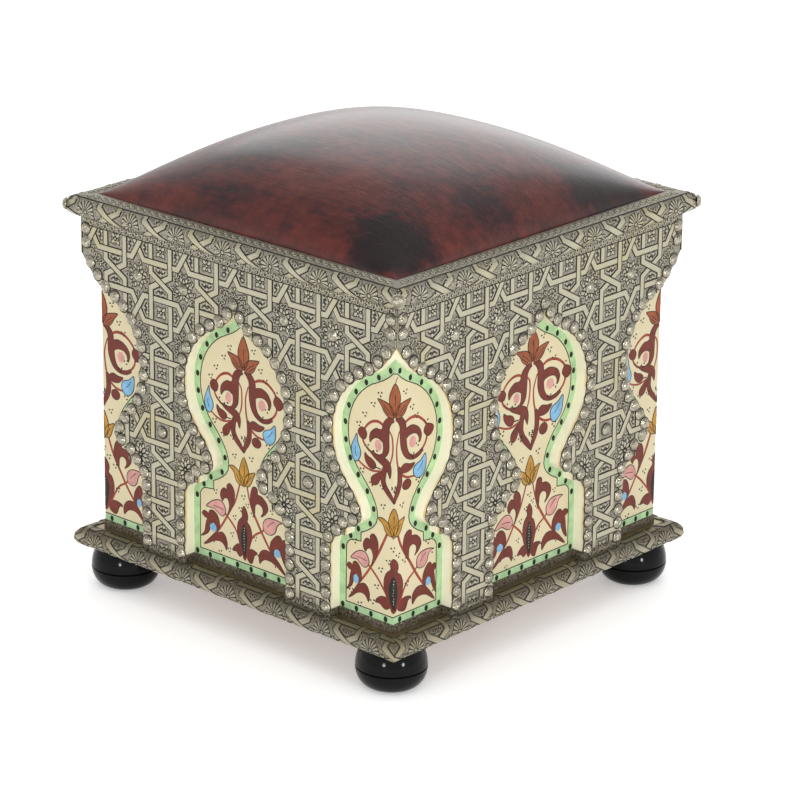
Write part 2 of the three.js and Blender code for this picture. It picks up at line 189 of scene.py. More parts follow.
class FootSizes(bpy.types.PropertyGroup):
    radius: length("Foot radius", "Radius of a foot at its groove", 32.5)
    pad_radius: length("Pad radius", "Radius of the flat it stands on", 17)
    oval: length("Oval", "Half height of the oval that it follows over the groove", 36)
    groove_height: length("Groove height", "Height of the turned groove", 19.4)
    groove_half: length("Groove half width", "Half width of that groove", 0.8)
    groove_depth: length("Groove depth", "Depth of that groove", 1.2)
    socket_radius: length("Socket radius", "Radius of the dowel's socket", 6.3)
    socket_depth: length("Socket depth", "Depth of that socket", 16.3)
    turns: IntProperty(name="Steps round", description="Faces round a foot", default=72)


class Finishes(bpy.types.PropertyGroup):
    strap: tint("Strap", "Raised nickel silver, rubbed bright", "#C7C1A9")
    form: tint("Forms", "Small raised forms in the cells", "#C0BAA8")
    ground: tint("Ground", "Chased nickel between the straps", "#A9A393")
    patina: tint("Patina", "Dark deposit in the grooves", "#3A372F")
    ledge: tint("Ledge", "Plain metal of the ledge, worn brown", "#978768")
    nail: tint("Nail", "Silver of the dome nails", "#BBB4A0")
    cream: tint("Cream", "Cream ground of the painted panels", "#DFD2AB")
    reveal: tint("Reveal", "Paler cream on the boards' cut edges", "#FFF8DE")
    stain: tint("Stain", "Ochre stain along the arches' outer edge", "#E0B558")
    green: tint("Green", "Border of a niche", "#AED09E")
    black: tint("Black", "Lines, dots and ticks", "#191A15")
    dark_red: tint("Dark red", "Scrolls of the motif", "#702D21")
    line_red: tint("Line red", "Thin stems and rings of the motif", "#98412E")
    rust: tint("Rust", "Upper palmette", "#9C5430")
    ochre: tint("Ochre", "Middle palmette", "#BD8B35")
    blue: tint("Blue", "Leaves and dots", "#82B6DA")
    pink: tint("Pink", "Leaves and dots", "#D69C94")
    hide_dark: tint("Dark hide", "Darkest patches of the leather", "#1D1213")
    hide_red: tint("Red hide", "Dyed red of the leather", "#4B1B18")
    hide_rubbed: tint("Rubbed hide", "Orange where the leather is rubbed", "#7A331F")
    lacquer: tint("Lacquer", "Black lacquer of the feet", "#08090A")
    wood: tint("Wood", "Bare softwood inside", "#B98D5C")
    foam: tint("Foam", "Upholstery foam", "#E6DDB8")
    steel: tint("Steel", "Seat screws", "#9A9B9D")


class KursiSettings(bpy.types.PropertyGroup):
    niche: PointerProperty(type=NicheSizes)
    straps: PointerProperty(type=StrapSizes)
    nails: PointerProperty(type=NailSizes)
    seat: PointerProperty(type=SeatSizes)
    feet: PointerProperty(type=FootSizes)
    finishes: PointerProperty(type=Finishes)


class Millimetres:
    """Reads a group's lengths in millimetres."""

    def __init__(self, group):
        self.group = group

    def __getattr__(self, name):
        return getattr(self.group, name) / MM


def settings():
    return bpy.context.scene.kursi


# Materials

def add_node(tree, kind, sockets=None, **properties):
    """Adds a node, sets its properties, and fills its sockets with values, with links, or with the
    first output in use of another node. Shader nodes go by the end of their name."""
    node = tree.nodes.new(kind if "Node" in kind else "ShaderNode" + kind)
    for key, value in properties.items():
        setattr(node, key, value)
    for key, value in (sockets or {}).items():
        if isinstance(value, bpy.types.Node):
            value = next(output for output in value.outputs if not output.is_unavailable)
        if isinstance(value, bpy.types.NodeSocket):
            tree.links.new(value, node.inputs[key])
        else:
            node.inputs[key].default_value = value
    return node


def new_material(name, paint, roughness, metallic=0.0, **sockets):
    """A material with one Principled shader. Paint adds its pattern's nodes and returns its
    colour, and if it has them its relief (height, strength, depth in metres) and roughness."""
    material = bpy.data.materials.new(name)
    material.use_nodes = True
    material.node_tree.nodes.clear()
    add = partial(add_node, material.node_tree)
    colour, relief, rough = (*paint(add, add("TexCoord").outputs["Object"]), None, None)[:3]
    values = {"Base Color": colour, "Roughness": rough or roughness, "Metallic": metallic}
    values |= {key.replace("_", " "): value for key, value in sockets.items()}
    if relief:
        values["Normal"] = add("Bump", dict(zip(("Height", "Strength", "Distance"), relief)))
    add("OutputMaterial", {"Surface": add("BsdfPrincipled", values)})
    return material


def darker(colour, share):
    return (*[c * share for c in colour[:3]], 1.0)


def per_metre(millimetres):
    """Texture scale that gives features of this size on coordinates in metres."""
    return 1.0 / (millimetres * MM)


def ledge_painted_shade(add, where, base):
    """Mixes in a brown painted shade, strongest at the ledge's height and gone 18 mm above or below it."""
    height = add("SeparateXYZ", {"Vector": where}).outputs["Z"]
    off = add("Math", {0: height, 1: ledge_height * MM}, operation="SUBTRACT")
    far = add("Math", {0: off}, operation="ABSOLUTE")
    share = add("MapRange", {"Value": far, "From Max": 18 * MM, "To Min": 0.66, "To Max": 0.0})
    return add("Mix", {0: share, 6: base, 7: linear("#54472F")}, data_type="RGBA")


def pressed_strap(name, colour):
    """Nickel silver sheet, die-pressed and rubbed: what stands out is pale and satin, with warm
    brassy tints where the plating has worn and hairline scratches."""
    def paint(add, where):
        wear_and_shade = add("TexNoise", {"Vector": where, "Scale": per_metre(45), "Detail": 3.0})
        fine = add("TexNoise", {"Vector": where, "Scale": per_metre(3), "Detail": 4.0})
        tone = add("Mix", {0: fine, 6: darker(colour, 0.74), 7: colour}, data_type="RGBA")
        warm = add("MapRange", {"Value": wear_and_shade, "From Min": 0.5, "From Max": 0.68, "To Max": 0.35})
        brassy = add("Mix", {0: warm, 6: tone, 7: linear("#BDB07A")}, data_type="RGBA")
        rough = add("MapRange", {"Value": fine, "To Min": 0.4, "To Max": 0.62})
        # Last comes the painted shade towards the ledge.
        return ledge_painted_shade(add, where, brassy), (fine, 0.3, 0.0005), rough

    return new_material(name, paint, 0.5, 0.7)


def chased_ground(name, light, dark, dark_share):
    """The same sheet between the straps, chased all over with fine curling lines that hold
    patina, so it reads as grey lace from afar. Real lines are 0.3 mm; here 0.5 mm, to show."""
    def paint(add, where):
        apart = 0.075
        curls = add("TexNoise", {"Vector": where, "Scale": per_metre(5.5), "Detail": 1.0, "Distortion": 1.3})
        bands = add("Math", {0: curls, 1: apart}, operation="PINGPONG")
        line = add("MapRange", {"Value": bands, "From Min": apart * dark_share * 0.4,
                                "From Max": apart * dark_share * 1.3})
        pits = add("TexVoronoi", {"Vector": where, "Scale": per_metre(2.2)})
        pit = add("MapRange", {"Value": pits, "From Min": 0.75, "From Max": 0.4, "To Min": 0.35})
        height = add("Math", {0: line, 1: pit}, operation="MULTIPLY")
        base = add("Mix", {0: height, 6: dark, 7: light}, data_type="RGBA")
        # Last comes the painted shade towards the ledge.
        return ledge_painted_shade(add, where, base), (height, 0.5, 0.0006)

    return new_material(name, paint, 0.5, 0.65)


def mottled(name, low, high, kind, size, given, span=None, relief=None, squash=None, values=(0.5,),
            **sockets):
    """A finish whose colour runs between two by one texture, given as its kind, the size of its
    features in millimetres and its sockets. Span is the part of its range that shows, relief the
    strength and depth of its bump, and squash scales its coordinates."""
    def paint(add, where):
        if squash:
            where = add("Mapping", {"Vector": where, "Scale": squash})
        pattern = share = add(kind, {"Vector": where, "Scale": per_metre(size), **given})
        if span:
            share = add("MapRange", {"Value": pattern, "From Min": span[0], "From Max": span[1]})
        base = add("Mix", {0: share, 6: low, 7: high}, data_type="RGBA")
        return base, relief and (pattern, *relief)

    return new_material(name, paint, *values, **sockets)


def nail_silver(colour):
    """Stamped nickel-plated nail heads, hammered in by hand: grey, with dents and creases that catch a few
    bright glints, and painted shade that darkens the dents and the creases."""
    def paint(add, where):
        dents = add("TexNoise", {"Vector": where, "Scale": per_metre(4.2), "Detail": 1.0, "Distortion": 0.8})
        facets = add("TexVoronoi", {"Vector": where, "Scale": per_metre(4.6)}, feature="DISTANCE_TO_EDGE")
        tone = add("MapRange", {"Value": dents, "From Min": 0.38, "From Max": 0.6})
        # Painted shade: darker in the dents and along the creases between facets, where the bump sinks the
        # surface
        crease = add("MapRange", {"Value": facets, "From Max": 0.14, "To Min": 0.4})
        wear_and_shade = add("Mix", {0: tone, 6: darker(colour, 0.62), 7: colour}, data_type="RGBA")
        base = add("Mix", {0: crease, 6: darker(colour, 0.4), 7: wear_and_shade}, data_type="RGBA")
        height = add("Math", {0: dents, 1: 2.0, 2: facets}, operation="MULTIPLY_ADD")
        return base, (height, 0.65, 0.001)

    return new_material("plated_nail_heads", paint, 0.24, 0.85)


def distemper(name, colour, shade, stain=None):
    """Hand-brushed oil paint on wood under a thin yellowed varnish: satin, slightly uneven.
    With a stain, an ochre glaze runs in patches along the boards' outer edge."""
    def paint(add, where):
        cloud = add("TexNoise", {"Vector": where, "Scale": per_metre(60), "Detail": 4.0})
        brush = add("TexNoise", {"Vector": where, "Scale": per_metre(5), "Detail": 3.0})
        base = add("Mix", {0: cloud, 6: darker(colour, shade), 7: colour}, data_type="RGBA")
        if stain:
            parts = add("SeparateXYZ", {"Vector": where}).outputs
            across = [add("Math", {0: parts[axis]}, operation="ABSOLUTE") for axis in (0, 1)]
            out = add("Math", {0: across[0], 1: across[1]}, operation="MAXIMUM")
            edge = add("MapRange", {"Value": out, "From Min": (core_half + 8.5) * MM,
                                    "From Max": board_face * MM}, interpolation_type="SMOOTHSTEP")
            patch = add("TexNoise", {"Vector": where, "Scale": per_metre(38), "Detail": 2.0})
            patchy = add("MapRange", {"Value": patch, "From Min": 0.4, "From Max": 0.56})
            share = add("Math", {0: edge, 1: patchy}, operation="MULTIPLY")
            base = add("Mix", {0: share, 6: base, 7: stain}, data_type="RGBA")
        return base, (brush, 0.25, 0.0004)

    return new_material(name, paint, 0.45, Coat_Weight=0.1, Coat_Roughness=0.3)


# Dark pools of dye on the hide: place, radius and depth
DYE_POOLS = ((152, -150, 402, 54, 0.33), (172, 112, 400, 62, 0.32), (-44, -170, 406, 36, 0.06),
             (160, -42, 408, 40, 0.1), (-56, -90, 435, 60, 0.1), (-160, 40, 410, 60, 0.1))
# Clouds, mottling and fine drawn streaks: share, turn in degrees, stretch, size in mm, sockets
HIDE_TEXTURES = ((0.5, 8, 0.55, 62, {"Detail": 6.0, "Roughness": 0.62, "Distortion": 0.5}),
                 (0.45, 0, 1.0, 15, {"Detail": 5.0, "Roughness": 0.65}),
                 (0.23, -12, 0.12, 5, {"Detail": 3.0, "Roughness": 0.7}))


def hide_leather(colours):
    """Aniline-dyed goat hide, antiqued: dark dye pools over red, rubbed through to orange at the
    frame, with fine streaks, hairline creases, small pebble grain and a wax polish."""
    def paint(add, where):
        up = add("SeparateXYZ", {"Vector": where}).outputs["Z"]
        wear = add("MapRange", {"Value": up, "From Min": (top_rim + 2) * MM, "From Max": (top_rim + 26) * MM,
                                "To Min": 0.12, "To Max": 0.103})
        for share, turn, stretch, size, given in HIDE_TEXTURES:
            drawn = add("Mapping", {"Vector": where, "Rotation": (0, 0, math.radians(turn)),
                                    "Scale": (stretch, 1.0, 1.0)})
            texture = add("TexNoise", {"Vector": drawn, "Scale": per_metre(size), **given})
            wear = add("Math", {0: texture, 1: share, 2: wear}, operation="MULTIPLY_ADD")
        ragged = add("TexNoise", {"Vector": where, "Scale": per_metre(40), "Detail": 6.0, "Roughness": 0.7})
        torn = add("VectorMath", {0: ragged.outputs["Color"], 1: (70 * MM,) * 3, 2: where},
                   operation="MULTIPLY_ADD")
        for *middle, radius, depth in DYE_POOLS:
            away = add("VectorMath", {0: torn, 1: [(value + 35) * MM for value in middle]},
                       operation="DISTANCE")
            pool = add("MapRange", {"Value": away, "From Min": radius * 0.35 * MM, "From Max": radius * MM,
                                    "To Min": depth, "To Max": 0.0}, interpolation_type="SMOOTHSTEP")
            wear = add("Math", {0: wear, 1: pool}, operation="SUBTRACT")
        ramp = add("ValToRGB", {"Fac": wear})
        stops = ramp.color_ramp.elements
        stops[0].position, stops[0].color = 0.4, colours.hide_dark
        stops[1].position, stops[1].color = 0.98, colours.hide_rubbed
        for position, colour in ((0.56, linear("#2A1215")), (0.68, colours.hide_red),
                                 (0.82, linear("#64261D"))):
            stops.new(position).color = colour
        grain = add("TexVoronoi", {"Vector": where, "Scale": per_metre(1.6)}, feature="DISTANCE_TO_EDGE")
        slack = add("TexNoise", {"Vector": where, "Scale": per_metre(40), "Detail": 2.0})
        height = add("Math", {0: slack, 1: 3.0, 2: grain}, operation="MULTIPLY_ADD")
        creased = add("Math", {0: texture, 1: 1.2, 2: height}, operation="MULTIPLY_ADD")
        return ramp, (creased, 0.35, 0.0007)

    return new_material("antiqued_goat_hide", paint, 0.42, Specular_IOR_Level=0.22, Coat_Weight=0.42,
                        Coat_Roughness=0.2)


def gouache(name, colour):
    """Gouache laid on by brush: the colour pools darker in places and dries paler in others."""
    return mottled("gouache_" + name, darker(colour, 0.8), darker(colour, 1.12), "TexNoise", 9,
                   {"Detail": 4.0}, (0.3, 0.7), Specular_IOR_Level=0.3)


def make_material(name):
    """The finish that the pieces ask for by this name."""
    c = settings().finishes
    makers = {
        "strap": lambda: pressed_strap("pressed_nickel_silver", c.strap),
        "form": lambda: pressed_strap("embossed_nickel_forms", c.form),
        "ground": lambda: chased_ground("chased_nickel_ground", c.ground, darker(c.ground, 0.42), 0.22),
        "skirting": lambda: chased_ground("chased_nickel_skirting", darker(c.ground, 1.3),
                                          darker(c.patina, 0.35), 0.6),
        "nail": lambda: nail_silver(c.nail),
        "panel": lambda: distemper("cream_distemper", c.cream, 0.9),
        "reveal": lambda: distemper("cream_distemper_edges", c.reveal, 0.94, c.stain),
        "leather": lambda: hide_leather(c),
        # Old polish and oxide packed into the grooves: nearly black and matt. The same finish paints the
        # shadow round each nail and each raised form
        "groove": lambda: mottled("groove_patina", darker(c.patina, 0.6), darker(c.patina, 1.7), "TexNoise",
                                  4, {"Detail": 3.0}, values=(0.75, 0.3)),
        # Plain rolled sheet on the ledge: brown with handling, with brassy rubbed streaks
        "ledge": lambda: mottled("worn_ledge_sheet", darker(c.ledge, 0.8), linear("#A08B55"), "TexNoise", 22,
                                 {"Detail": 5.0, "Distortion": 0.8}, (0.52, 0.72), (0.2, 0.0005),
                                 values=(0.38, 0.75)),
        # Black lacquer sprayed over turned wood: deep gloss, the turning rings barely felt
        "lacquer": lambda: mottled("black_lacquer_gloss", darker(c.lacquer, 0.7), darker(c.lacquer, 1.6),
                                   "TexNoise", 2.5, {"Detail": 2.0}, None, (0.15, 0.0003),
                                   (0.05, 0.05, 1.0), (0.1,), Specular_IOR_Level=0.15),
        # Planed cedar left bare inside: straight grain about 4 mm apart, matt
        "wood": lambda: mottled("bare_cedar", darker(c.wood, 0.6), c.wood, "TexNoise", 4, {"Detail": 5.0},
                                None, (0.3, 0.0004), (1.0, 1.0, 0.08), (0.75,)),
        # Open-cell upholstery foam: soft, matt, 1.5 mm cells
        "foam": lambda: mottled("open_cell_foam", c.foam, darker(c.foam, 0.6), "TexVoronoi", 1.5, {}, None,
                                (0.6, 0.0008), values=(0.95,)),
        # Zinc-plated steel: grey and satin, turned finely
        "steel": lambda: mottled("zinc_plated_steel", darker(c.steel, 0.8), c.steel, "TexNoise", 0.8,
                                 {"Detail": 2.0}, values=(0.35, 1.0)),
    }
    return makers.get(name, lambda: gouache(name, getattr(c, name)))()


made_materials = {}


def finish(name):
    """The material of that name, made when it is first asked for."""
    if name not in made_materials:
        made_materials[name] = make_material(name)
    return made_materials[name]


# Plane geometry, in millimetres

def area(loop):
    """Signed area of a closed line; positive where it runs anticlockwise."""
    return sum(a[0] * b[1] - b[0] * a[1] for a, b in zip(loop, loop[1:] + loop[:1])) / 2


def anticlockwise(loop):
    return loop if area(loop) > 0 else loop[::-1]


def arc(middle, radius, start, end, steps):
    angles = [start + (end - start) * i / steps for i in range(steps + 1)]
    return [(middle[0] + radius * math.cos(a), middle[1] + radius * math.sin(a)) for a in angles]


def disc(x, y, radius, sides=14):
    angles = [2 * math.pi * i / sides for i in range(sides)]
    return [(x + radius * math.cos(a), y + radius * math.sin(a)) for a in angles]


def oval(x, y, half, rise):
    return [(x + (a - x) * half / rise, b) for a, b in disc(x, y, rise)]


def across_all(half, low, high):
    """A level band, reaching this far both ways."""
    return [(-half, low), (half, low), (half, high), (-half, high)]


def bend(start, control, end, steps):
    """Points of a quadratic curve, without its first."""
    shares = [i / steps for i in range(1, steps + 1)]
    return [tuple((1 - t) ** 2 * a + 2 * t * (1 - t) * c + t * t * b for a, c, b in zip(start, control, end))
            for t in shares]


def flow(points, steps=5, closed=False):
    """A smooth line through points; each may carry a width as a third number."""
    knots = [Vector(p) for p in points]
    if closed:
        knots = [knots[-1], *knots, knots[0], knots[1]]
    else:
        knots = [2 * knots[0] - knots[1], *knots, 2 * knots[-1] - knots[-2]]
    line = []
    for a, b, c, d in zip(knots, knots[1:], knots[2:], knots[3:]):
        for i in range(steps):
            t = i / steps
            line.append((2 * b + (c - a) * t + (2 * a - 5 * b + 4 * c - d) * t ** 2
                         + (3 * b - a - 3 * c + d) * t ** 3) / 2)
    return line if closed else line + [knots[-2]]


def both_sides(line, widths, closed=False):
    """Points left and right of a line, half a width away, mitred at its bends."""
    left, right = [], []
    count = len(line)
    for i, (point, width) in enumerate(zip(line, widths)):
        before = Vector(line[i][:2]) - Vector(line[(i - 1) % count][:2]) if closed or i > 0 else None
        after = Vector(line[(i + 1) % count][:2]) - Vector(line[i][:2]) if closed or i < count - 1 else None
        runs = [run.normalized() for run in (before, after) if run is not None and run.length > 1e-9]
        side = sum((Vector((-run.y, run.x)) for run in runs), Vector((0.0, 0.0))).normalized()
        stretch = min(1.6, 1 / max(0.3, side.dot(Vector((-runs[0].y, runs[0].x)))))
        step = side * (width / 2 * stretch)
        left.append((point[0] + step.x, point[1] + step.y))
        right.append((point[0] - step.x, point[1] - step.y))
    return left, right


def strip(line, width):
    """Closed outline of an open line with a width."""
    left, right = both_sides(line, [width] * len(line))
    return right + left[::-1]


def distance_to(line, point, closed=True):
    """Least distance from a point to a line."""
    spot = Vector(point)
    ends = zip(line, line[1:] + line[:1]) if closed else zip(line, line[1:])
    least = math.inf
    for a, b in ends:
        start, run = Vector(a), Vector(b) - Vector(a)
        share = max(0.0, min(1.0, (spot - start).dot(run) / max(run.length_squared, 1e-12)))
        least = min(least, (spot - start - run * share).length)
    return least


def inside(loop, point):
    x, y = point
    crossings = 0
    for (ax, ay), (bx, by) in zip(loop, loop[1:] + loop[:1]):
        if (ay > y) != (by > y) and x < (bx - ax) * (y - ay) / (by - ay) + ax:
            crossings += 1
    return crossings % 2 == 1


def rim_of(faces):
    """The edges that only one face has, each in that face's direction."""
    used = {(a, b) for face in faces for a, b in zip(face, face[1:] + face[:1])}
    return [(a, b) for a, b in used if (b, a) not in used]


def beside(line, distance):
    """The line moved to its left, without the loops that tight bends make."""
    left, _ = both_sides(line, [2 * distance] * len(line))
    return [p for p in left if distance_to(line, p, closed=False) > abs(distance) * 0.96]


def evenly(line, spacing):
    """Points along an open line, as near to this spacing as fits it."""
    runs = [(Vector(b) - Vector(a)).length for a, b in zip(line, line[1:])]
    count = max(1, round(sum(runs) / spacing))
    step = sum(runs) / count
    points, along, target = [], 0.0, 0.0
    for a, b, run in zip(line, line[1:], runs):
        while target <= along + run + 1e-6 and run > 0:
            share = (target - along) / run
            points.append(tuple(Vector(a) + (Vector(b) - Vector(a)) * share))
            target += step
        along += run
    return points


# Meshes

def place(turn, along, out, up):
    """A point in metres: along a side, out from the stool's middle, and up. Turn 0 is the front."""
    x, y = along, -out
    for _ in range(turn % 4):
        x, y = -y, x
    return Vector((x, y, up)) * MM


def facing(turn, out, up):
    """A direction that points out from a side and up."""
    return place(turn, 0.0, out, up).normalized()


def smooth(mesh, crease):
    """Makes a mesh smooth up to a crease angle in degrees."""
    mesh.polygons.foreach_set("use_smooth", [True] * len(mesh.polygons))
    mesh.set_sharp_from_angle(angle=math.radians(crease))


def new_piece(name, points, faces, materials, slots=None, crease=None, edges=()):
    """An object from points in metres. With a crease angle its surface is smooth up to it."""
    mesh = bpy.data.meshes.new(name)
    mesh.from_pydata(points, edges, faces)
    for material in materials:
        mesh.materials.append(material)
    if slots:
        mesh.polygons.foreach_set("material_index", slots)
    if crease is not None:
        smooth(mesh, crease)
    mesh.update()
    piece = bpy.data.objects.new(name, mesh)
    bpy.context.scene.collection.objects.link(piece)
    return piece


def settle(piece, slot, *nodes):
    """Rides the piece on the stool and hides the frame nodes that it stands for; the slot is not used."""
    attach(piece, "root")
    if nodes:
        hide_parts(*nodes)


def region_map(outline, shapes, cuts=()):
    """Splits an outline along shapes and cut lines. Returns points, triangles and, for each
    triangle, the numbers of the shapes that hold its middle."""
    points, loops = [], []
    for shape in [outline, *shapes]:
        shape = anticlockwise(list(shape))
        loops.append(list(range(len(points), len(points) + len(shape))))
        points += [Vector(p) for p in shape]
    edges = []
    for a, b in cuts:
        edges.append((len(points), len(points) + 1))
        points += [Vector(a), Vector(b)]
    points, _, triangles, _, _, _ = geometry.delaunay_2d_cdt(points, edges, loops, 0, 1e-4)
    block = 12.0
    near = {}
    for number, shape in enumerate(shapes):
        xs, ys = [p[0] for p in shape], [p[1] for p in shape]
        for column in range(math.floor(min(xs) / block), math.floor(max(xs) / block) + 1):
            for row in range(math.floor(min(ys) / block), math.floor(max(ys) / block) + 1):
                near.setdefault((column, row), []).append(number)
    kept, held = [], []
    for triangle in triangles:
        middle = sum((points[i] for i in triangle), Vector((0, 0))) / 3
        if inside(outline, middle):
            kept.append(triangle)
            key = (math.floor(middle.x / block), math.floor(middle.y / block))
            held.append([n for n in near.get(key, ()) if inside(shapes[n], middle)])
    return points, kept, held


def stepped_plate(points, triangles, levels, put):
    """A closed plate whose triangles lie at steps. Put gives a point's place from its plane
    coordinates and its step; step 0 is the back. Returns points, faces and each face's step."""
    places, numbers, faces, steps = [], {}, [], []

    def corner(index, level):
        if (index, level) not in numbers:
            numbers[index, level] = len(places)
            places.append(put(points[index].x, points[index].y, level))
        return numbers[index, level]

    across = {}
    for triangle, level in zip(triangles, levels):
        for a, b in zip(triangle, (*triangle[1:], triangle[0])):
            across[a, b] = level
    for triangle, level in zip(triangles, levels):
        faces.append([corner(i, level) for i in triangle])
        steps.append(level)
        faces.append([corner(i, 0) for i in reversed(triangle)])
        steps.append(0)
        for a, b in zip(triangle, (*triangle[1:], triangle[0])):
            for low in range(across.get((b, a), 0), level):
                faces.append([corner(a, low), corner(b, low), corner(b, low + 1), corner(a, low + 1)])
                steps.append(-1)
    return places, faces, steps


# The arch

def arch_half(corner=False):
    """Right half of an arch from the ledge up, as distances from its middle and heights."""
    niche = Millimetres(settings().niche)
    shoulder = niche.foot_half - niche.shoulder_radius
    step = niche.shoulder_rise + niche.shoulder_radius + niche.step_rise
    nose = step + niche.nose_rise
    middle = nose + niche.bulb_rise
    start, end = settings().niche.bulb_start, settings().niche.bulb_end
    bulb = arc((0, middle), niche.bulb_radius, start, end, 14)
    line = [(niche.foot_half, 0.0)]
    line += arc((shoulder, niche.shoulder_rise), niche.shoulder_radius, 0, math.pi / 2, 7)
    line.append((shoulder, step))
    line += bend(line[-1], (niche.nose_half, nose - niche.nose_ease), (niche.nose_half, nose), 6)
    line += bend(line[-1], (niche.nose_half, nose + niche.throat_ease), bulb[0], 6)
    line += bulb[1:]
    if corner:
        tip = (core_half - fascia_half, middle + niche.corner_tip_rise)
    else:
        tip = (0.0, middle + niche.tip_rise)
    line += bend(line[-1], (niche.tip_ease_half, middle + niche.tip_ease_rise), tip, 5)
    return [(x, z + ledge_height) for x, z in line]


def full_arch():
    """The middle arch from its right foot over the tip to its left foot."""
    half = arch_half()
    return half + [(-x, z) for x, z in half[-2::-1]]


def corner_arch():
    """The half arch at a face's right end, from its foot on the ledge up to the corner."""
    return [(core_half - x, z) for x, z in arch_half(corner=True)]


def fascia_outline():
    """Outline of one side's fascia, anticlockwise from the middle arch's right foot."""
    corner = corner_arch()
    return ([*corner] + [(fascia_half, fascia_top), (-fascia_half, fascia_top)]
            + [(-x, z) for x, z in corner[::-1]] + full_arch()[::-1])


# The interlaced straps

def lattice():
    """Middles of the square cells along a side and going up, one beyond each edge."""
    sizes = Millimetres(settings().straps)
    right = [sizes.middle_half + sizes.pitch * i for i in range(4)]
    top = fascia_top - sizes.band_height - sizes.top_cell
    return [-x for x in right[::-1]] + right, [top + sizes.pitch_up * i for i in range(1, -7, -1)]


def strap_passages(columns, rows):
    """Each strap's way through each crossing, as (line, True if it passes over)."""
    sizes = Millimetres(settings().straps)
    half, half_up, pitch_up = sizes.square_half, sizes.square_half_up, sizes.pitch_up
    rise = (half_up + pitch_up / 2 - sizes.bend_up) / 2
    passages = []

    def zigzags(x, y, wide, end, bent, level):
        """The two straps that cross and bend halfway between neighbouring squares."""
        for side in (-1, 1):
            way = ((side * wide, end), (side * wide, bent), (-side * wide, -bent), (-side * wide, -end))
            passages.append(([(x - b, y + a) if level else (x + a, y + b) for a, b in way], side < 0))

    for x in columns:
        for y in rows:
            for right in (-1, 1):
                near = min((abs(c - x) for c in columns if (c - x) * right > 0), default=sizes.pitch) / 2
                reach = (half + near - sizes.bend_along) / 2
                for up in (-1, 1):
                    side, edge = x + right * half, y + up * half_up
                    passages.append(([(side, y), (side, y + up * rise)], right * up < 0))
                    passages.append(([(x, edge), (x + right * reach, edge)], right * up > 0))
    for x in columns:
        for low, high in zip(rows[1:], rows):
            zigzags(x, (low + high) / 2, half, pitch_up / 2 - rise, sizes.bend_up, False)
    for y in rows:
        for left, right in zip(columns, columns[1:]):
            gap = (right - left) / 2
            end = gap - (half + gap - sizes.bend_along) / 2
            zigzags((left + right) / 2, y, half_up, end, sizes.bend_along, True)
    return passages


def cell_rims(columns, rows):
    """Thin rims inside the five-sided cells, as pairs of outer and inner outlines."""
    sizes = Millimetres(settings().straps)
    half, half_up = sizes.square_half, sizes.square_half_up
    cells = []
    for x in columns:
        for low, high in zip(rows[1:], rows):
            middle = (low + high) / 2
            for up, side in ((1, high - half_up), (-1, low + half_up)):
                bent = middle + up * sizes.bend_up
                cells.append([(x, middle), (x + half, bent), (x + half, side), (x - half, side),
                              (x - half, bent)])
    for y in rows:
        for left, right in zip(columns, columns[1:]):
            middle, low, high = (left + right) / 2, y - half_up, y + half_up
            for along, side in ((1, right - half), (-1, left + half)):
                bent = middle + along * sizes.bend_along
                cells.append([(middle, y), (bent, low), (side, low), (side, high), (bent, high)])
    return [[both_sides(cell, [2 * inset] * len(cell), closed=True)[0]
             for inset in (sizes.rim_inset, sizes.rim_inset + sizes.rim_width)]
            for cell in map(anticlockwise, cells)]


BACK, GROOVE, GROUND, RIM, STRAP = range(5)


def pattern_shapes(columns, rows):
    """Closed shapes of the interlace with what each is: its kind and whether it passes over."""
    sizes = Millimetres(settings().straps)
    shapes = []
    for line, over in strap_passages(columns, rows):
        shapes.append((strip(line, sizes.strap_width), STRAP, over))
        shapes.append((strip(line, sizes.strap_width + 2 * sizes.groove_width), GROOVE, over))
    for outer, inner in cell_rims(columns, rows):
        shapes += [(outer, RIM, False), (inner, GROUND, False)]
    return shapes


def step_of(kinds):
    """The step of a triangle from the shapes that hold it. A strap that passes over wins."""
    ranked = ((STRAP, True), (GROOVE, True), (STRAP, False), (RIM, True), (GROOVE, False), (GROUND, False),
              (RIM, False))
    return next((step for step, over in ranked if (step, over) in kinds), GROUND)


def clip_up(shape, limit, keep_below=True):
    """Part of a closed shape below a height, or above it."""
    sign = 1 if keep_below else -1
    out = []
    for a, b in zip(shape, shape[1:] + shape[:1]):
        da, db = sign * (limit - a[1]), sign * (limit - b[1])
        if da >= 0:
            out.append(tuple(a))
        if da * db < 0:
            share = da / (da - db)
            out.append((a[0] + (b[0] - a[0]) * share, limit))
    return out


def limited(shapes, low, high):
    """The shapes cut off at two heights; those outside go."""
    out = []
    for loop, kind, over in shapes:
        loop = [tuple(p) for p in loop]
        if any(y > high for _, y in loop):
            loop = clip_up(loop, high)
        if loop and any(y < low for _, y in loop):
            loop = clip_up(loop, low, keep_below=False)
        if len(loop) > 2 and abs(area(loop)) > 0.01:
            out.append((loop, kind, over))
    return out


# Length of one wave of the vines in the bands
VINE_WAVE = 9.2


def band_middles():
    """Middles of the vines in the bands above and below the pattern."""
    band = settings().straps.band_height / MM
    return fascia_top - band / 2 + 0.3, ledge_height + band / 2 - 0.3


def vine(middle):
    """A wavy raised stem along a band, as a closed outline."""
    half = fascia_half - 2
    count = max(4, round(2 * half / VINE_WAVE) * 6)
    line = [(2 * half * i / count - half, middle) for i in range(count + 1)]
    return strip([(x, y + 1.1 * math.sin(2 * math.pi * x / VINE_WAVE)) for x, y in line], 0.7)


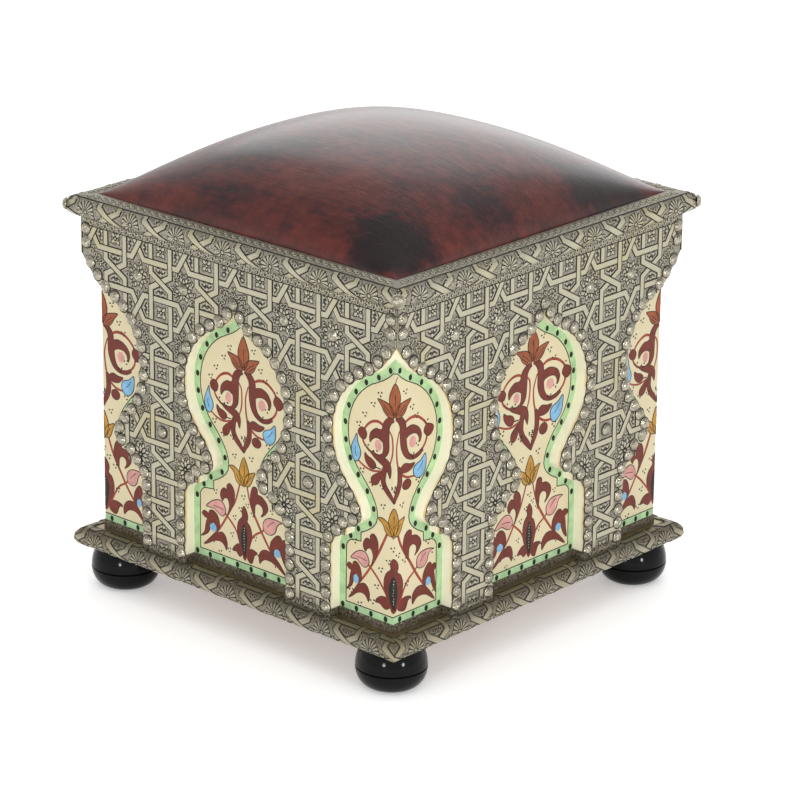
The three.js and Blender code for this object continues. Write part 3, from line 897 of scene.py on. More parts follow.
def relief_pieces(names, outline, shapes, put, cuts=(), plain_above=None):
    """The same pressed sheet on the four sides: its outline with the pattern raised and sunk.
    Put takes the turn, plane coordinates and a height; above plain_above it has the plain finish."""
    sizes = Millimetres(settings().straps)
    # The back lies inside the sheet's own thickness
    heights = {BACK: -0.45, GROOVE: -sizes.groove_depth, GROUND: 0.0, RIM: sizes.rim_height,
               STRAP: sizes.strap_height}
    points, triangles, held = region_map(outline, [loop for loop, _, _ in shapes], cuts)
    levels = [step_of({shapes[h][1:] for h in holders}) for holders in held]
    materials = [finish(key) for key in ("groove", "ground", "strap", "ledge", "form")]
    slot_of = {BACK: 3, GROOVE: 0, GROUND: 1, RIM: 4, STRAP: 2, -1: 0}
    pieces = []
    for turn, name in enumerate(names):
        places, faces, steps = stepped_plate(points, triangles, levels,
                                             lambda x, y, level: put(turn, x, y, heights[level]))
        slots = [slot_of[step] for step in steps]
        if plain_above is not None:
            ordered = iter(triangles)
            for number, step in enumerate(steps):
                if step > 0 and sum(points[i].y for i in next(ordered)) / 3 > plain_above:
                    slots[number] = 3
        pieces.append(new_piece(name, places, faces, materials, slots, crease=35))
    return pieces


# Geometry Nodes for what repeats

def scatter_tree(name, along_line):
    """Sets a form on every point of a mesh, or evenly along its lines. Points carry their turn as
    Euler angles; sizes and tilts vary by the seed."""
    tree = bpy.data.node_groups.new(name, "GeometryNodeTree")
    for label, kind in (("Geometry", "Geometry"), ("Form", "Object"), ("Material", "Material"),
                        ("Spacing", "Float"), ("Least size", "Float"), ("Most size", "Float"),
                        ("Tilt", "Float"), ("Seed", "Int")):
        tree.interface.new_socket(label, in_out="INPUT", socket_type="NodeSocket" + kind)
    tree.interface.new_socket("Geometry", in_out="OUTPUT", socket_type="NodeSocketGeometry")
    add = partial(add_node, tree)
    given = add("NodeGroupInput").outputs
    source = given["Geometry"]
    if along_line:
        curve = add("GeometryNodeMeshToCurve", {"Mesh": source})
        source = add("GeometryNodeResampleCurve", {"Curve": curve, "Length": given["Spacing"]}, mode="LENGTH")
    turn = add("GeometryNodeInputNamedAttribute", {"Name": "turn"}, data_type="FLOAT_VECTOR")
    upright = add("FunctionNodeEulerToRotation", {"Euler": turn})
    back, most = [add("VectorMath", {0: (way,) * 3, "Scale": given["Tilt"]}, operation="SCALE")
                  for way in (-1.0, 1.0)]
    lean = add("FunctionNodeRandomValue", {0: back, 1: most, "Seed": given["Seed"]}, data_type="FLOAT_VECTOR")
    uneven = add("FunctionNodeEulerToRotation", {"Euler": lean})
    turned = add("FunctionNodeRotateRotation", {"Rotation": upright, "Rotate By": uneven},
                 rotation_space="LOCAL")
    size = add("FunctionNodeRandomValue", {2: given["Least size"], 3: given["Most size"],
                                           "Seed": given["Seed"]}, data_type="FLOAT")
    form = add("GeometryNodeObjectInfo", {"Object": given["Form"]}).outputs["Geometry"]
    instances = add("GeometryNodeInstanceOnPoints", {"Points": source, "Instance": form, "Rotation": turned,
                                                     "Scale": size})
    real = add("GeometryNodeRealizeInstances", {"Geometry": instances})
    dressed = add("GeometryNodeSetMaterial", {"Geometry": real, "Material": given["Material"]})
    add("NodeGroupOutput", {"Geometry": dressed})
    return tree


def scattered(name, shapes, look, points, edges=(), **values):
    """A piece of metal ornament made of copies of some forms, in the finish of that name. Points
    are (place in metres, Euler turn)."""
    form = new_piece(name + "_form", [Vector(p) * MM for p in shapes.points], shapes.faces, ())
    piece = new_piece(name, [p for p, _ in points], (), (), edges=edges)
    turns = piece.data.attributes.new("turn", "FLOAT_VECTOR", "POINT")
    turns.data.foreach_set("vector", [angle for _, turn in points for angle in turn])
    key = "set_along_lines" if edges else "set_on_points"
    tree = bpy.data.node_groups.get(key) or scatter_tree(key, bool(edges))
    modifier = piece.modifiers.new("scatter", "NODES")
    modifier.node_group = tree
    given = {"Form": form, "Material": finish(look), "Spacing": 1.0, "Least size": 1.0, "Most size": 1.0,
             "Tilt": 0.0, "Seed": 0}
    given |= {key.replace("_", " ").capitalize(): value for key, value in values.items()}
    for item in tree.interface.items_tree:
        if item.in_out == "INPUT" and item.name in given:
            modifier[item.identifier] = given[item.name]
    made = bpy.data.meshes.new_from_object(piece.evaluated_get(bpy.context.evaluated_depsgraph_get()))
    made.name = name
    piece.modifiers.clear()
    piece.data = made
    smooth(made, 50)
    bpy.data.objects.remove(form)
    settle(piece, "nickel_sheet")


def turn_to(outward, spin=0.0):
    """Euler turn that stands a form on a surface: its Z outward, its Y up, spun about Z."""
    up = Vector((0, 0, 1)) if abs(outward.z) < 0.99 else Vector((0, 1, 0))
    across = up.cross(outward).normalized()
    upward = outward.cross(across)
    matrix = Matrix((across, upward, outward)).transposed().to_4x4() @ Matrix.Rotation(spin, 4, "Z")
    return tuple(matrix.to_euler())


def tube(rings, count, start=0):
    """Faces round a stack of rings of points, numbered ring after ring from start."""
    return [[a + i, a + (i + 1) % count, a + count + (i + 1) % count, a + count + i]
            for a in range(start, start + (rings - 1) * count, count) for i in range(count)]


class Forms:
    """Collects small raised shapes into one closed mesh, rooted this far under the surface. With a border
    they are flat and that much wider, for the dark line round each shape, which is painted shadow."""
    root = -0.2

    def __init__(self, border=0.0):
        self.points, self.faces, self.border = [], [], border

    def stack(self, rings, peak=None):
        """A closed shape through rings of points from the bottom up, flat on top or with a peak."""
        start, count = len(self.points), len(rings[0])
        top = start + (len(rings) - 1) * count
        self.points += [point for ring in rings for point in ring]
        self.faces += [list(range(start, start + count))[::-1], *tube(len(rings), count, start)]
        if peak:
            self.faces += [[top + i, top + (i + 1) % count, len(self.points)] for i in range(count)]
            self.points.append(peak)
        else:
            self.faces.append(list(range(top, top + count)))

    def mound(self, lower, upper, height):
        """A raised shape from its outline at the foot to a like outline at its top."""
        if area(lower) < 0:
            lower, upper = lower[::-1], upper[::-1]
        if self.border:
            lower = upper = both_sides(lower, [2 * self.border] * len(lower), closed=True)[1]
            height = 0.07
        self.stack([[(x, y, self.root) for x, y in lower], [(x, y, height) for x, y in upper]])

    def dome(self, x, y, radius, profile, height, sides):
        """A round shape from its profile, as shares of the radius and heights."""
        self.stack([[(*spot, up) for spot in disc(x, y, radius * share, sides)] for share, up in profile],
                   (x, y, height))

    def bead(self, x, y, radius, height, sides=7):
        if self.border:
            ring = disc(x, y, radius + self.border, sides)
            self.mound(ring, ring, height)
        else:
            profile = ((1.0, self.root), (0.86, height * 0.55), (0.45, height * 0.92))
            self.dome(x, y, radius, profile, height, sides)

    def petal(self, degrees, near, far, width, height):
        """A pointed leaf lying outward from the middle at an angle."""
        angle = math.radians(degrees)
        ahead, side = Vector((math.cos(angle), math.sin(angle))), Vector((-math.sin(angle), math.cos(angle)))
        middle, reach = (near + far) / 2, far - near
        lower, upper = [[tuple(ahead * (middle + (along - 0.5) * reach * long) + side * width * across * wide)
                         for along, across in ((0, 0), (0.3, 0.42), (0.62, 0.5), (1, 0), (0.62, -0.5),
                                               (0.3, -0.42))] for long, wide in ((1, 1), (0.45, 0.4))]
        self.mound(lower, upper, height)


def bead_trefoil(forms):
    """Three beads, the pointed end of a small cell up along +Y."""
    for x, y, radius in ((0, -2.0, 1.55), (-3.2, 1.9, 1.6), (3.2, 1.9, 1.6)):
        forms.bead(x, y, radius, 0.8)


def petal_flower(forms):
    """Four broad petals across the corners of a square cell, four narrow ones between."""
    forms.bead(0, 0, 1.3, 0.9)
    for i in range(4):
        forms.petal(45 + 90 * i, 1.2, 7.4, 4.0, 0.8)
        forms.petal(90 * i, 1.6, 5.2, 2.0, 0.6)


def rosette_heart(forms):
    """A dot in a ring of long petals, for the middle of a star cell; a nail may cover the dot."""
    forms.bead(0, 0, 1.2, 0.9, 8)
    for i in range(8):
        forms.petal(45 * i, 2.2, 9.8, 3.9, 0.7)
        forms.petal(22.5 + 45 * i, 6.2, 12.2, 3.5, 0.7)


def scroll(forms, hand):
    """One small C-shaped scroll; the hand, 1 or -1, is the way it turns."""
    line = []
    for i in range(6):
        sweep, reach = math.radians(90 + hand * (200 - 54 * i)), 2.3 * (1 - 0.1 * i)
        line.append((reach * math.cos(sweep), reach * math.sin(sweep)))
    forms.mound(strip(line, 1.3), strip(line, 0.6), 0.65)


NAIL_SIDES = 14


def nail_head():
    """A stamped dome with a thin flat brim."""
    nails = Millimetres(settings().nails)
    forms = Forms()
    profile = [(1.0, -0.3)] + [(share, up * nails.height) for share, up in (
        (1.0, 0.12), (0.93, 0.16), (0.84, 0.42), (0.62, 0.78), (0.33, 0.95))]
    forms.dome(0, 0, nails.width / 2, profile, nails.height, NAIL_SIDES)
    return forms


def nail_shadow_disc():
    """The painted shadow round a nail: a thin dark disc under its brim."""
    nails = Millimetres(settings().nails)
    forms = Forms()
    ring = disc(0, 0, nails.width / 2 + nails.line, NAIL_SIDES)
    forms.mound(ring, ring, 0.7)
    return forms


# Places of the ornament on a flat side

def star_nails():
    """Big nails that stand in star and square cells, on one side."""
    columns, rows = lattice()
    stars = [(a + b) / 2 for a, b in zip(columns, columns[1:])]
    top_row, from_corner = (rows[1] + rows[2]) / 2, 30
    spots = [(x, top_row) for x in stars if abs(x) < fascia_half - from_corner]
    # One between each pair of arches, and two over the tip of each corner arch
    spots += [(x, rows[4]) for x in columns if 60 < abs(x) < 120]
    tip, beside_mitre = arch_half(corner=True)[-1][1], 7
    spots += [(side * (fascia_half - beside_mitre), tip + up) for side in (-1, 1) for up in (11, 24)]
    return spots


def roomy(outline, spots, room, nails, nail_room):
    """The spots that keep clear of the sheet's edge and of the big nails."""
    return [spot for spot in spots if inside(outline, spot[:2]) and distance_to(outline, spot[:2]) > room
            and all((Vector(spot[:2]) - Vector(nail)).length > nail_room for nail in nails)]


def bare_places(outline, shapes, taken, low, high):
    """Places for small curls on the ground that is still bare: clear of the grooves, of the
    outline, of what is taken (place and radius) and of each other. Both halves are alike."""
    room, apart, step = 2.35, 4.7, 1.2
    grooves = []
    for loop, kind, _ in shapes:
        if kind == GROOVE:
            across, up = zip(*loop)
            grooves.append((min(across) - room, max(across) + room, min(up) - room, max(up) + room, loop))
    found = []
    for row in range(int((high - low - 2 * room) / step) + 1):
        y = low + room + row * step
        level = [groove for groove in grooves if groove[2] < y < groove[3]]
        beside_it = [(a, b, r + room) for a, b, r in taken if abs(b - y) < r + room]
        beside_it += [(a, b, apart) for a, b in found if abs(b - y) < apart]
        for column in range(int(fascia_half * 1.1 / step)):
            x = column * step
            if 0 < x < apart / 2 or any((a - x) ** 2 + (b - y) ** 2 < r * r for a, b, r in beside_it):
                continue
            near = [groove[4] for groove in level if groove[0] < x < groove[1]]
            if any(inside(loop, (x, y)) or distance_to(loop, (x, y)) < room for loop in near):
                continue
            if inside(outline, (x, y)) and distance_to(outline, (x, y)) > room:
                found.append((x, y))
                beside_it.append((x, y, apart))
    return found


def cell_spots():
    """Middles of squares, stars and small cells on one side; small cells carry their turn."""
    sizes = Millimetres(settings().straps)
    columns, rows = lattice()
    squares = [(x, y) for x in columns for y in rows]
    across = [(a + b) / 2 for a, b in zip(columns, columns[1:])]
    up = [(a + b) / 2 for a, b in zip(rows, rows[1:])]
    stars = [(x, y) for x in across for y in up]
    # Small cells lie this far above and below, or right and left of, a crossing
    rise, reach = 9.2, 9.6
    small = []
    for x in columns:
        for y in up:
            small += [(x, y + rise, 0.0), (x, y - rise, math.pi)]
    for x in across:
        for y in rows:
            small += [(x + reach, y, -math.pi / 2), (x - reach, y, math.pi / 2)]
    limit = fascia_top - sizes.band_height - 4
    return [[spot for spot in group if spot[1] < limit] for group in (squares, stars, small)]


# The round edges

class RoundEdge:
    """The half-round edge of a frame and the flat lip inside it, unrolled. Its plane
    coordinates run along a side and up round the edge, 0 at the nose."""

    def __init__(self, bottom, top, reach, lip):
        self.centre, self.middle = fascia_half, (bottom + top) / 2
        self.out, self.up = reach - fascia_half, (top - bottom) / 2
        self.radius = (self.out + self.up) / 2
        self.quarter = self.radius * math.pi / 2
        self.end = self.quarter + fascia_half - lip

    def section(self, run, height=0.0):
        """Distance out and height of a point on the edge, and its outward direction."""
        if run > self.quarter:
            return self.centre - (run - self.quarter), self.middle + self.up + height, Vector((0.0, 1.0))
        angle = run / self.radius
        away = Vector((math.cos(angle) * self.up, math.sin(angle) * self.out)).normalized()
        return (self.centre + self.out * math.cos(angle) + away.x * height,
                self.middle + self.up * math.sin(angle) + away.y * height, away)

    def put(self, turn, along, run, height):
        """A point on the edge. The ends of the strip follow the mitre."""
        surface, _, _ = self.section(run)
        out, up, _ = self.section(run, height)
        if abs(along) > surface - 1e-3:
            along = math.copysign(out, along)
        return place(turn, along, out, up)

    def runs(self, steps=14):
        return [-self.quarter + 2 * self.quarter * i / steps for i in range(steps + 1)]

    def outline(self):
        line = [(self.section(run)[0], run) for run in [*self.runs(), self.end]]
        return line + [(-x, run) for x, run in line[::-1]]

    def cuts(self):
        lines = []
        for run in self.runs()[1:]:
            reach = self.section(run)[0]
            lines.append(((-reach, run), (reach, run)))
        return lines


def top_edge():
    return RoundEdge(fascia_top, top_rim, top_reach, seat_opening)


def base_edge():
    return RoundEdge(base_bottom, ledge_height, base_reach, core_half)


# Distance between the crossings along a round edge
EDGE_PITCH = 58.3


def edge_lattice(edge, first, lift):
    """Middles of the crossings along a round edge, and the two rows of cells beyond it."""
    sizes = Millimetres(settings().straps)
    crossings = [first + EDGE_PITCH * i for i in range(-1, 7)]
    middle = edge.radius * lift
    return crossings, [middle + sizes.pitch_up / 2, middle - sizes.pitch_up / 2]


def sunburst(x, y):
    """Shapes of a shell-like sunburst with curls beside it, on the plane of a round edge."""
    shapes = [(disc(x, y, 10.9, 22), GROOVE, False), (disc(x, y, 1.5, 8), RIM, True)]
    # One ray's outline, outward from the middle and across it
    ray, rays = ((2.4, -0.2), (7.6, -1.0), (9.8, -1.25), (10.8, 0), (9.8, 1.25), (7.6, 1.0), (2.4, 0.2)), 15
    for i in range(rays):
        ahead = Vector((math.cos(2 * math.pi * i / rays), math.sin(2 * math.pi * i / rays)))
        side = Vector((-ahead.y, ahead.x))
        shapes.append(([tuple(Vector((x, y)) + ahead * far + side * wide) for far, wide in ray], RIM, True))
    for right in (-1, 1):
        for up in (-1, 1):
            line = arc((x + 13.4 * right, y + 8.2 * up), 2.3, math.radians(200 - 90 * right),
                       math.radians(200 - 90 * right + 250 * up), 7)
            shapes.append((strip(line, 2.2), GROOVE, False))
            shapes.append((strip(line, 1.1), RIM, True))
    return shapes


def edge_patterns():
    """For the top and the base: name, edge, shapes of its pattern, and where these end."""
    patterns = []
    for key, edge, first, lift, share in (("top", top_edge(), -149, math.radians(-10), 0.66),
                                          ("base", base_edge(), -146, math.radians(-20), 1.3)):
        crossings, rows = edge_lattice(edge, first, lift)
        shapes = pattern_shapes(crossings, rows)
        for crossing in crossings:
            if abs(crossing + EDGE_PITCH / 2) < edge.centre - 8:
                shapes += sunburst(crossing + EDGE_PITCH / 2, edge.radius * lift)
        stop = edge.quarter * share
        patterns.append((key, edge, limited(shapes, -edge.quarter, stop), stop))
    return patterns


# Painted niches

class Painting:
    """The flat shapes of one painted niche by colour. X runs from its middle line, Y is the height
    over the floor, and a layer is how far the paint stands off the panel. What keeps still doesn't
    wander with the painter's hand; what is gathered stands closer together in the middle niches."""

    def __init__(self, still=False, gather=False):
        self.shapes, self.still, self.gather = {}, still, gather

    def lay(self, colour, points, faces, loops, layer):
        self.shapes.setdefault(colour, []).append((points, faces, loops, layer))
        if colour == "dark_red":
            # The painter's dark drawing shows round each red stroke
            for loop in loops:
                self.stroke("black", [points[i] for i in loop], 0.106, 1.0, closed=True)

    def patch(self, colour, loop, layer):
        """A filled closed line."""
        loop = anticlockwise([(p[0], p[1]) for p in loop])
        faces = []
        for triangle in geometry.tessellate_polygon([[Vector((x, y, 0.0)) for x, y in loop]]):
            faces.append(list(triangle) if area([loop[i] for i in triangle]) > 0 else list(triangle)[::-1])
        self.lay(colour, loop, faces, [list(range(len(loop)))], layer)

    def stroke(self, colour, line, layer, width=None, closed=False):
        """A brush line; without a width each point carries its own."""
        left, right = both_sides(line, [width or max(0.3, p[2]) for p in line], closed)
        count = len(line)
        faces = [[i, count + i, count + (i + 1) % count, (i + 1) % count]
                 for i in range(count if closed else count - 1)]
        outer, inner = list(range(count, 2 * count)), list(range(count))[::-1]
        self.lay(colour, left + right, faces, [outer, inner] if closed else [outer + inner], layer)

    def shape(self, colour, layer, *knots, steps=3):
        """A filled shape with a smooth edge through knots."""
        self.patch(colour, flow(knots, steps, closed=True), layer)

    def line(self, colour, layer, *knots):
        """A brush line through knots, each with its width."""
        self.stroke(colour, flow(knots), layer)

    def leaf(self, colour, layer, knots, *veins):
        """A filled leaf with a thin drawn edge and veins."""
        edge = flow(knots, 4, closed=True)
        self.patch(colour, edge, layer)
        self.stroke("black", edge, layer + 0.04, 0.75, closed=True)
        for vein in veins:
            self.stroke("black", flow(vein, 3), layer + 0.04, 0.65)


def wiggle(x, y, seed):
    """A painter's unsteady hand: a smooth wander of about half a millimetre."""
    spot = Vector((x * 0.045, y * 0.045, seed * 7.3))
    return noise.noise(spot) * 0.9, noise.noise(spot + Vector((31.7, 0, 0))) * 0.9


def paint_border(painting):
    """Green border inside the arch, its thin black line and its dots."""
    niche = Millimetres(settings().niche)
    foot, width, spacing = skirting_top - 1.0, niche.border_width, niche.dot_spacing
    edge = [(x, max(z, foot)) for x, z in full_arch()]
    inner = [p for p in beside(edge, width) if p[1] >= foot + width - 0.5]
    half = niche.foot_half - width
    inner = [(half, foot + width)] + inner[1:-1] + [(-half, foot + width)]
    ring = edge + [(edge[-1][0], foot), (edge[0][0], foot)]
    points = [Vector(p) for loop in (ring, inner) for p in anticlockwise(loop)]
    loops = [list(range(len(ring))), list(range(len(ring), len(points)))]
    places, _, triangles, _, _, held = geometry.delaunay_2d_cdt(points, [], loops, 1, 1e-4)
    faces = [list(t) for t, holders in zip(triangles, held) if 0 in holders and 1 not in holders]
    painting.lay("green", [tuple(p) for p in places], faces, rim_of(faces), 0.08)
    painting.stroke("black", inner, 0.14, niche.line_width, closed=True)
    middle = [p for p in beside(edge, width / 2 + 0.2) if p[1] >= foot + 1]
    across, side = foot + width / 2, niche.foot_half - width / 2
    dots = evenly(middle, spacing) + [(side, across), (-side, across)]
    dots += [(x, across) for x, _ in evenly([(side - spacing, 0), (spacing - side, 0)], spacing)]
    for x, z in dots:
        dot = [(x + (a - x) * 0.88, z + (b - z) * 1.12) for a, b in disc(x, z, 2.6, 9)]
        painting.patch("black", dot, 0.14)


def paint_palmettes(painting):
    """The rust palmette at the top and the ochre one at the waist, with veined leaves."""
    line, leaf = painting.line, painting.leaf
    leaf("rust", 0.2, [(0, 263), (4.6, 270), (6.8, 278), (4.6, 286.5), (0, 294), (-4.6, 286.5), (-6.8, 278),
         (-4.6, 270)], [(0, 265), (0.6, 274), (0, 283)])
    line("black", 0.2, (0, 293, 0.9), (1.0, 297, 0.7), (3.4, 300.5, 0.5))
    for side in (1, -1):
        petal, *veins = [[(side * x, z) for x, z in knots] for knots in (
            ((1.5, 262.4), (8, 262), (12.9, 265.6), (15.9, 271), (20, 276.4), (12, 275.6), (6, 273.6),
             (2, 269)),
            ((3.5, 264), (8.5, 268.5), (13.5, 272)), ((6.5, 263.5), (10.5, 266.5), (13.5, 269)))]
        leaf("rust", 0.16, petal, *veins)
    leaf("ochre", 0.2, [(0, 151), (3.8, 157), (6, 165), (3.8, 173), (0, 179), (-3.8, 173), (-6, 165),
         (-3.8, 157)], [(0, 160), (0.4, 166), (0, 172)])
    leaf("ochre", 0.16, [(-18.2, 165.8), (-15.4, 167.4), (-11.8, 166.9), (-7.1, 164.3), (-3.6, 160.6),
         (-0.6, 157), (-0.9, 152.6), (-4.2, 152.2), (-7.9, 153.4), (-10.7, 156.6), (-12.8, 161.6)],
         [(-3.5, 154), (-7, 158), (-10, 161)])
    leaf("ochre", 0.16, [(13.6, 168), (8.6, 166.6), (4.0, 163.8), (1.0, 159), (1.2, 153), (5.9, 152.6),
         (9.2, 156.8), (11.4, 162.5)], [(3.5, 155), (6, 159), (8.6, 163)])


def paint_wishbone_left(painting):
    """Left half of the upper motif: trunk, curl, ringed bead, slanting leaf, buds and blue leaf."""
    shape, line, leaf, patch = painting.shape, painting.line, painting.leaf, painting.patch
    line("dark_red", 0.12, (-1.6, 260.8, 3.6), (-6.4, 258.6, 6), (-10, 253.4, 7.6), (-10.6, 246, 7.8),
         (-10.2, 238, 6.8), (-10.4, 231, 5.8), (-13.4, 225.4, 3.6), (-19.5, 223.4, 2.2), (-26, 225.4, 1.4))
    shape("dark_red", 0.14, (-12.6, 248.6), (-17.3, 248), (-21.9, 247.9), (-27.3, 244), (-29.2, 239.6),
          (-28.6, 234.2), (-26.3, 236.8), (-22.8, 239.3), (-18.1, 239.6), (-12.2, 237.6), steps=4)
    line("line_red", 0.1, (-12.6, 252.6, 2.2), (-19.2, 254.8, 2.7), (-25.7, 253.6, 2.6), (-31.4, 250, 2.2),
         (-35.5, 244.6, 2), (-37.2, 236, 2), (-35.2, 231, 2), (-29, 225.4, 2.4))
    shape("dark_red", 0.16, (-39.8, 245.4), (-35.1, 244.6), (-32.7, 240.4), (-34.8, 235.4), (-39.7, 236),
          (-43, 240.6))
    line("line_red", 0.1, (-7, 250.5, 1.3), (-3.3, 245.6, 1.7), (-2.3, 237, 1.7), (-3, 228, 1.7),
         (-5.7, 219.2, 1.4))
    shape("dark_red", 0.15, (-29.4, 226.4), (-22.6, 224), (-15.1, 223.6), (-9.5, 222.6), (-5.6, 219.2),
          (-4.1, 213.7), (-5.3, 206.6), (-7.6, 210.8), (-12.2, 215.3), (-18.8, 218.7), (-24.5, 221.8))
    line("line_red", 0.1, (-42.3, 213.6, 1.4), (-34.7, 209.9, 1.8), (-26.2, 208.4, 1.9), (-15, 210.8, 1.9))
    shape("dark_red", 0.14, (-34.4, 222.4), (-33.8, 216.2), (-30, 211.3), (-25.3, 210.1), (-21.9, 212.7),
          (-22.5, 216.2), (-26.3, 218.8), (-30.6, 220))
    painting.stroke("black", [(-22.4, 212.9), (-16.2, 212.5)], 0.22, 1.0)
    shape("dark_red", 0.14, (-15.8, 209.2), (-22.4, 206), (-26.8, 201.1), (-25.8, 195.8), (-21.2, 196.2),
          (-17.9, 200.4))
    line("dark_red", 0.12, (-10.2, 217, 3.6), (-12.4, 211.6, 5), (-13.3, 203, 5), (-10.6, 196.4, 5.2),
         (-5, 190.4, 4.6), (0, 184.2, 1.6))
    patch("pink", oval(-19.2, 233.2, 3.7, 5), 0.16)
    leaf("blue", 0.2, [(-44.4, 238.4), (-46.8, 233.6), (-50, 226.1), (-50.2, 219.9), (-48.2, 214.2),
         (-44.7, 212), (-41, 215.1), (-39.2, 220.8), (-40.6, 225.6), (-43, 231)],
         [(-45.8, 226), (-46, 221.2), (-44.3, 217)])


def paint_wishbone_right(painting):
    """Right half of the upper motif, drawn by the same hand but not its mirror image."""
    shape, line, leaf, patch = painting.shape, painting.line, painting.leaf, painting.patch
    line("dark_red", 0.12, (1.8, 262.2, 3.2), (6.7, 259.6, 6), (10.4, 254.2, 7.4), (10.8, 247.5, 7.6),
         (11.3, 237, 7.4), (13.2, 229.4, 6.2), (17.2, 224, 4.8), (23.5, 221.2, 3.6), (30.5, 222, 3.6),
         (36, 225, 3))
    shape("dark_red", 0.14, (12.8, 247.5), (19.3, 251), (25.5, 250.4), (31.8, 246.2), (34.7, 239.4),
          (32.5, 233), (31.2, 238), (28.6, 241.6), (23.6, 243), (17.4, 241.7), (12.6, 238.6), steps=4)
    line("line_red", 0.1, (12.8, 255.6, 2.4), (20.2, 258.6, 2.9), (28.5, 257.9, 2.8), (36.2, 253.2, 2.4),
         (40.8, 247.4, 2.2), (41.8, 237, 2.2), (40, 230.6, 2.2), (34.8, 224.6, 2.4))
    shape("dark_red", 0.16, (43.9, 247.6), (49.6, 243.8), (48.7, 238.6), (43.4, 235.8), (38, 241.2),
          (40, 246.8))
    line("line_red", 0.1, (6, 249.4, 1.3), (3.1, 239.7, 1.7), (2.3, 232.6, 1.7), (3.4, 221.2, 2),
         (5.8, 213, 2.2))
    shape("dark_red", 0.14, (6.6, 211.6), (9.6, 216), (13.7, 217.5), (19.9, 215.8), (26.2, 215.4),
          (22.1, 210.9), (16.9, 209.2), (10.7, 209.6))
    line("line_red", 0.1, (7.6, 209.6, 2.4), (14.9, 204.8, 2.3), (21.2, 203.4, 2.1), (27.4, 203.4, 1.7))
    patch("dark_red", oval(16.2, 197.6, 5.6, 4.7), 0.14)
    line("dark_red", 0.12, (5.3, 216, 2.6), (6.8, 209.4, 4.6), (7, 201.4, 5.4), (4.6, 194.6, 5.4),
         (1.6, 188.6, 3.6), (0, 184, 1.6))
    patch("pink", oval(23.2, 235.2, 4.5, 5.2), 0.16)
    leaf("blue", 0.2, [(39.8, 220.4), (34.4, 216), (27.4, 213.2), (24.7, 209.5), (25.3, 204.8), (29, 200.6),
         (34.7, 200.7), (38.8, 204.8), (40.6, 211)], [(36.5, 214.6), (34, 210.6), (29.9, 207)])


def paint_bud(painting):
    """The bud in the middle of the lower field, with its dark core."""
    shape = painting.shape
    shape("dark_red", 0.16, (0.5, 131.8), (4.6, 127), (5.6, 122), (4.6, 118), (9, 114.6), (11.8, 108.4),
          (11.9, 101.9), (9.8, 96), (6.2, 88), (1.6, 80.6), (-1.6, 82.4), (-5.4, 90.2), (-8.4, 96.4),
          (-10.6, 102.7), (-10.8, 110.2), (-8.5, 116.4), (-3.6, 121.2), (-4.2, 126), (-2, 130.4), steps=4)
    shape("black", 0.22, (-0.3, 115.4), (3.8, 109.5), (5.5, 102.4), (4.6, 93.3), (1.6, 82.6), (-2.4, 88),
          (-4.4, 95), (-4.8, 102), (-3.4, 109.5), steps=4)
    for i in range(9):
        top = 111.5 - 2.7 * i
        painting.stroke("panel", [(0.3 - 0.25 * (i % 2), top), (0.9 - 0.25 * (i % 3), top - 1.1)], 0.27, 0.6)


def paint_garden_left(painting):
    """Left of the lower field, drawn for the corner niches: stems, curl, pink leaf and flower."""
    shape, line, leaf, patch = painting.shape, painting.line, painting.leaf, painting.patch
    line("line_red", 0.1, (-7.6, 153.4, 2.6), (-16, 136.5, 2.7), (-27.8, 116.9, 2.3), (-38, 101.6, 2.1),
         (-52.6, 82.4, 1.4))
    line("line_red", 0.12, (-30.8, 119.2, 1.6), (-27.8, 116.9, 1.9), (-19.1, 109.7, 2), (-11.1, 100.6, 2),
         (-6.2, 92.5, 2), (-1, 80.9, 1.8))
    shape("dark_red", 0.14, (-26.6, 118.8), (-24.5, 126.6), (-25.4, 131.4), (-27.3, 134), (-30, 134.2),
          (-32.2, 132.7), (-33.7, 130.6), (-35.8, 133), (-36.5, 136), (-35.4, 139.8), (-32.6, 142.8),
          (-30, 143), (-27.8, 141.9), (-28.1, 145.7), (-25.7, 148.9), (-22.7, 148.8), (-19.8, 145.6),
          (-18.4, 141.6), (-18.4, 137.2), (-20.1, 129.7), (-23.5, 123.7))
    leaf("pink", 0.2, [(-50.2, 119.8), (-46.9, 124.8), (-42.8, 128.3), (-38.2, 130.1), (-33.5, 128.8),
         (-30.6, 125.2), (-29.4, 121.1), (-30.8, 117.6), (-33.5, 115.4), (-36.8, 116), (-40.1, 118.1),
         (-43.2, 120.3)], [(-43, 123.1), (-37.5, 122.9), (-32.6, 121.8)])
    shape("dark_red", 0.16, (-56, 89), (-52.7, 94), (-51.7, 100.1), (-50.6, 104.9), (-49.7, 107.8),
          (-52.5, 108.6), (-54.7, 111.3), (-52.9, 114.3), (-50.1, 113.9), (-48.2, 112), (-47.7, 115.3),
          (-45.5, 117.5), (-42.5, 116.9), (-39.9, 113.7), (-38.2, 108.5), (-37.8, 102.9), (-39.7, 98.7),
          (-41.7, 100.4), (-42.1, 104.4), (-44.4, 105.9), (-46.9, 103.4), (-47.9, 98.2), (-50.1, 93.6))
    patch("blue", oval(-44.3, 100.9, 3.2, 4), 0.2)
    shape("dark_red", 0.15, (-53, 82), (-46.7, 90.4), (-43.3, 94.6), (-40, 96.8), (-35.3, 99.1),
          (-31.1, 97.8), (-28.8, 93.9), (-27.7, 89.2), (-28.8, 83.6), (-31.2, 87.2), (-34.6, 89.5),
          (-39.3, 89.7), (-44.6, 87.7), (-49.3, 84))
    shape("dark_red", 0.18, (-20.7, 85.9), (-18.5, 89.9), (-14.2, 92.8), (-9.4, 93.4), (-5.8, 92),
          (-2.7, 86.8), (-7.7, 82.3), (-11.7, 83.1), (-15.7, 85.9))


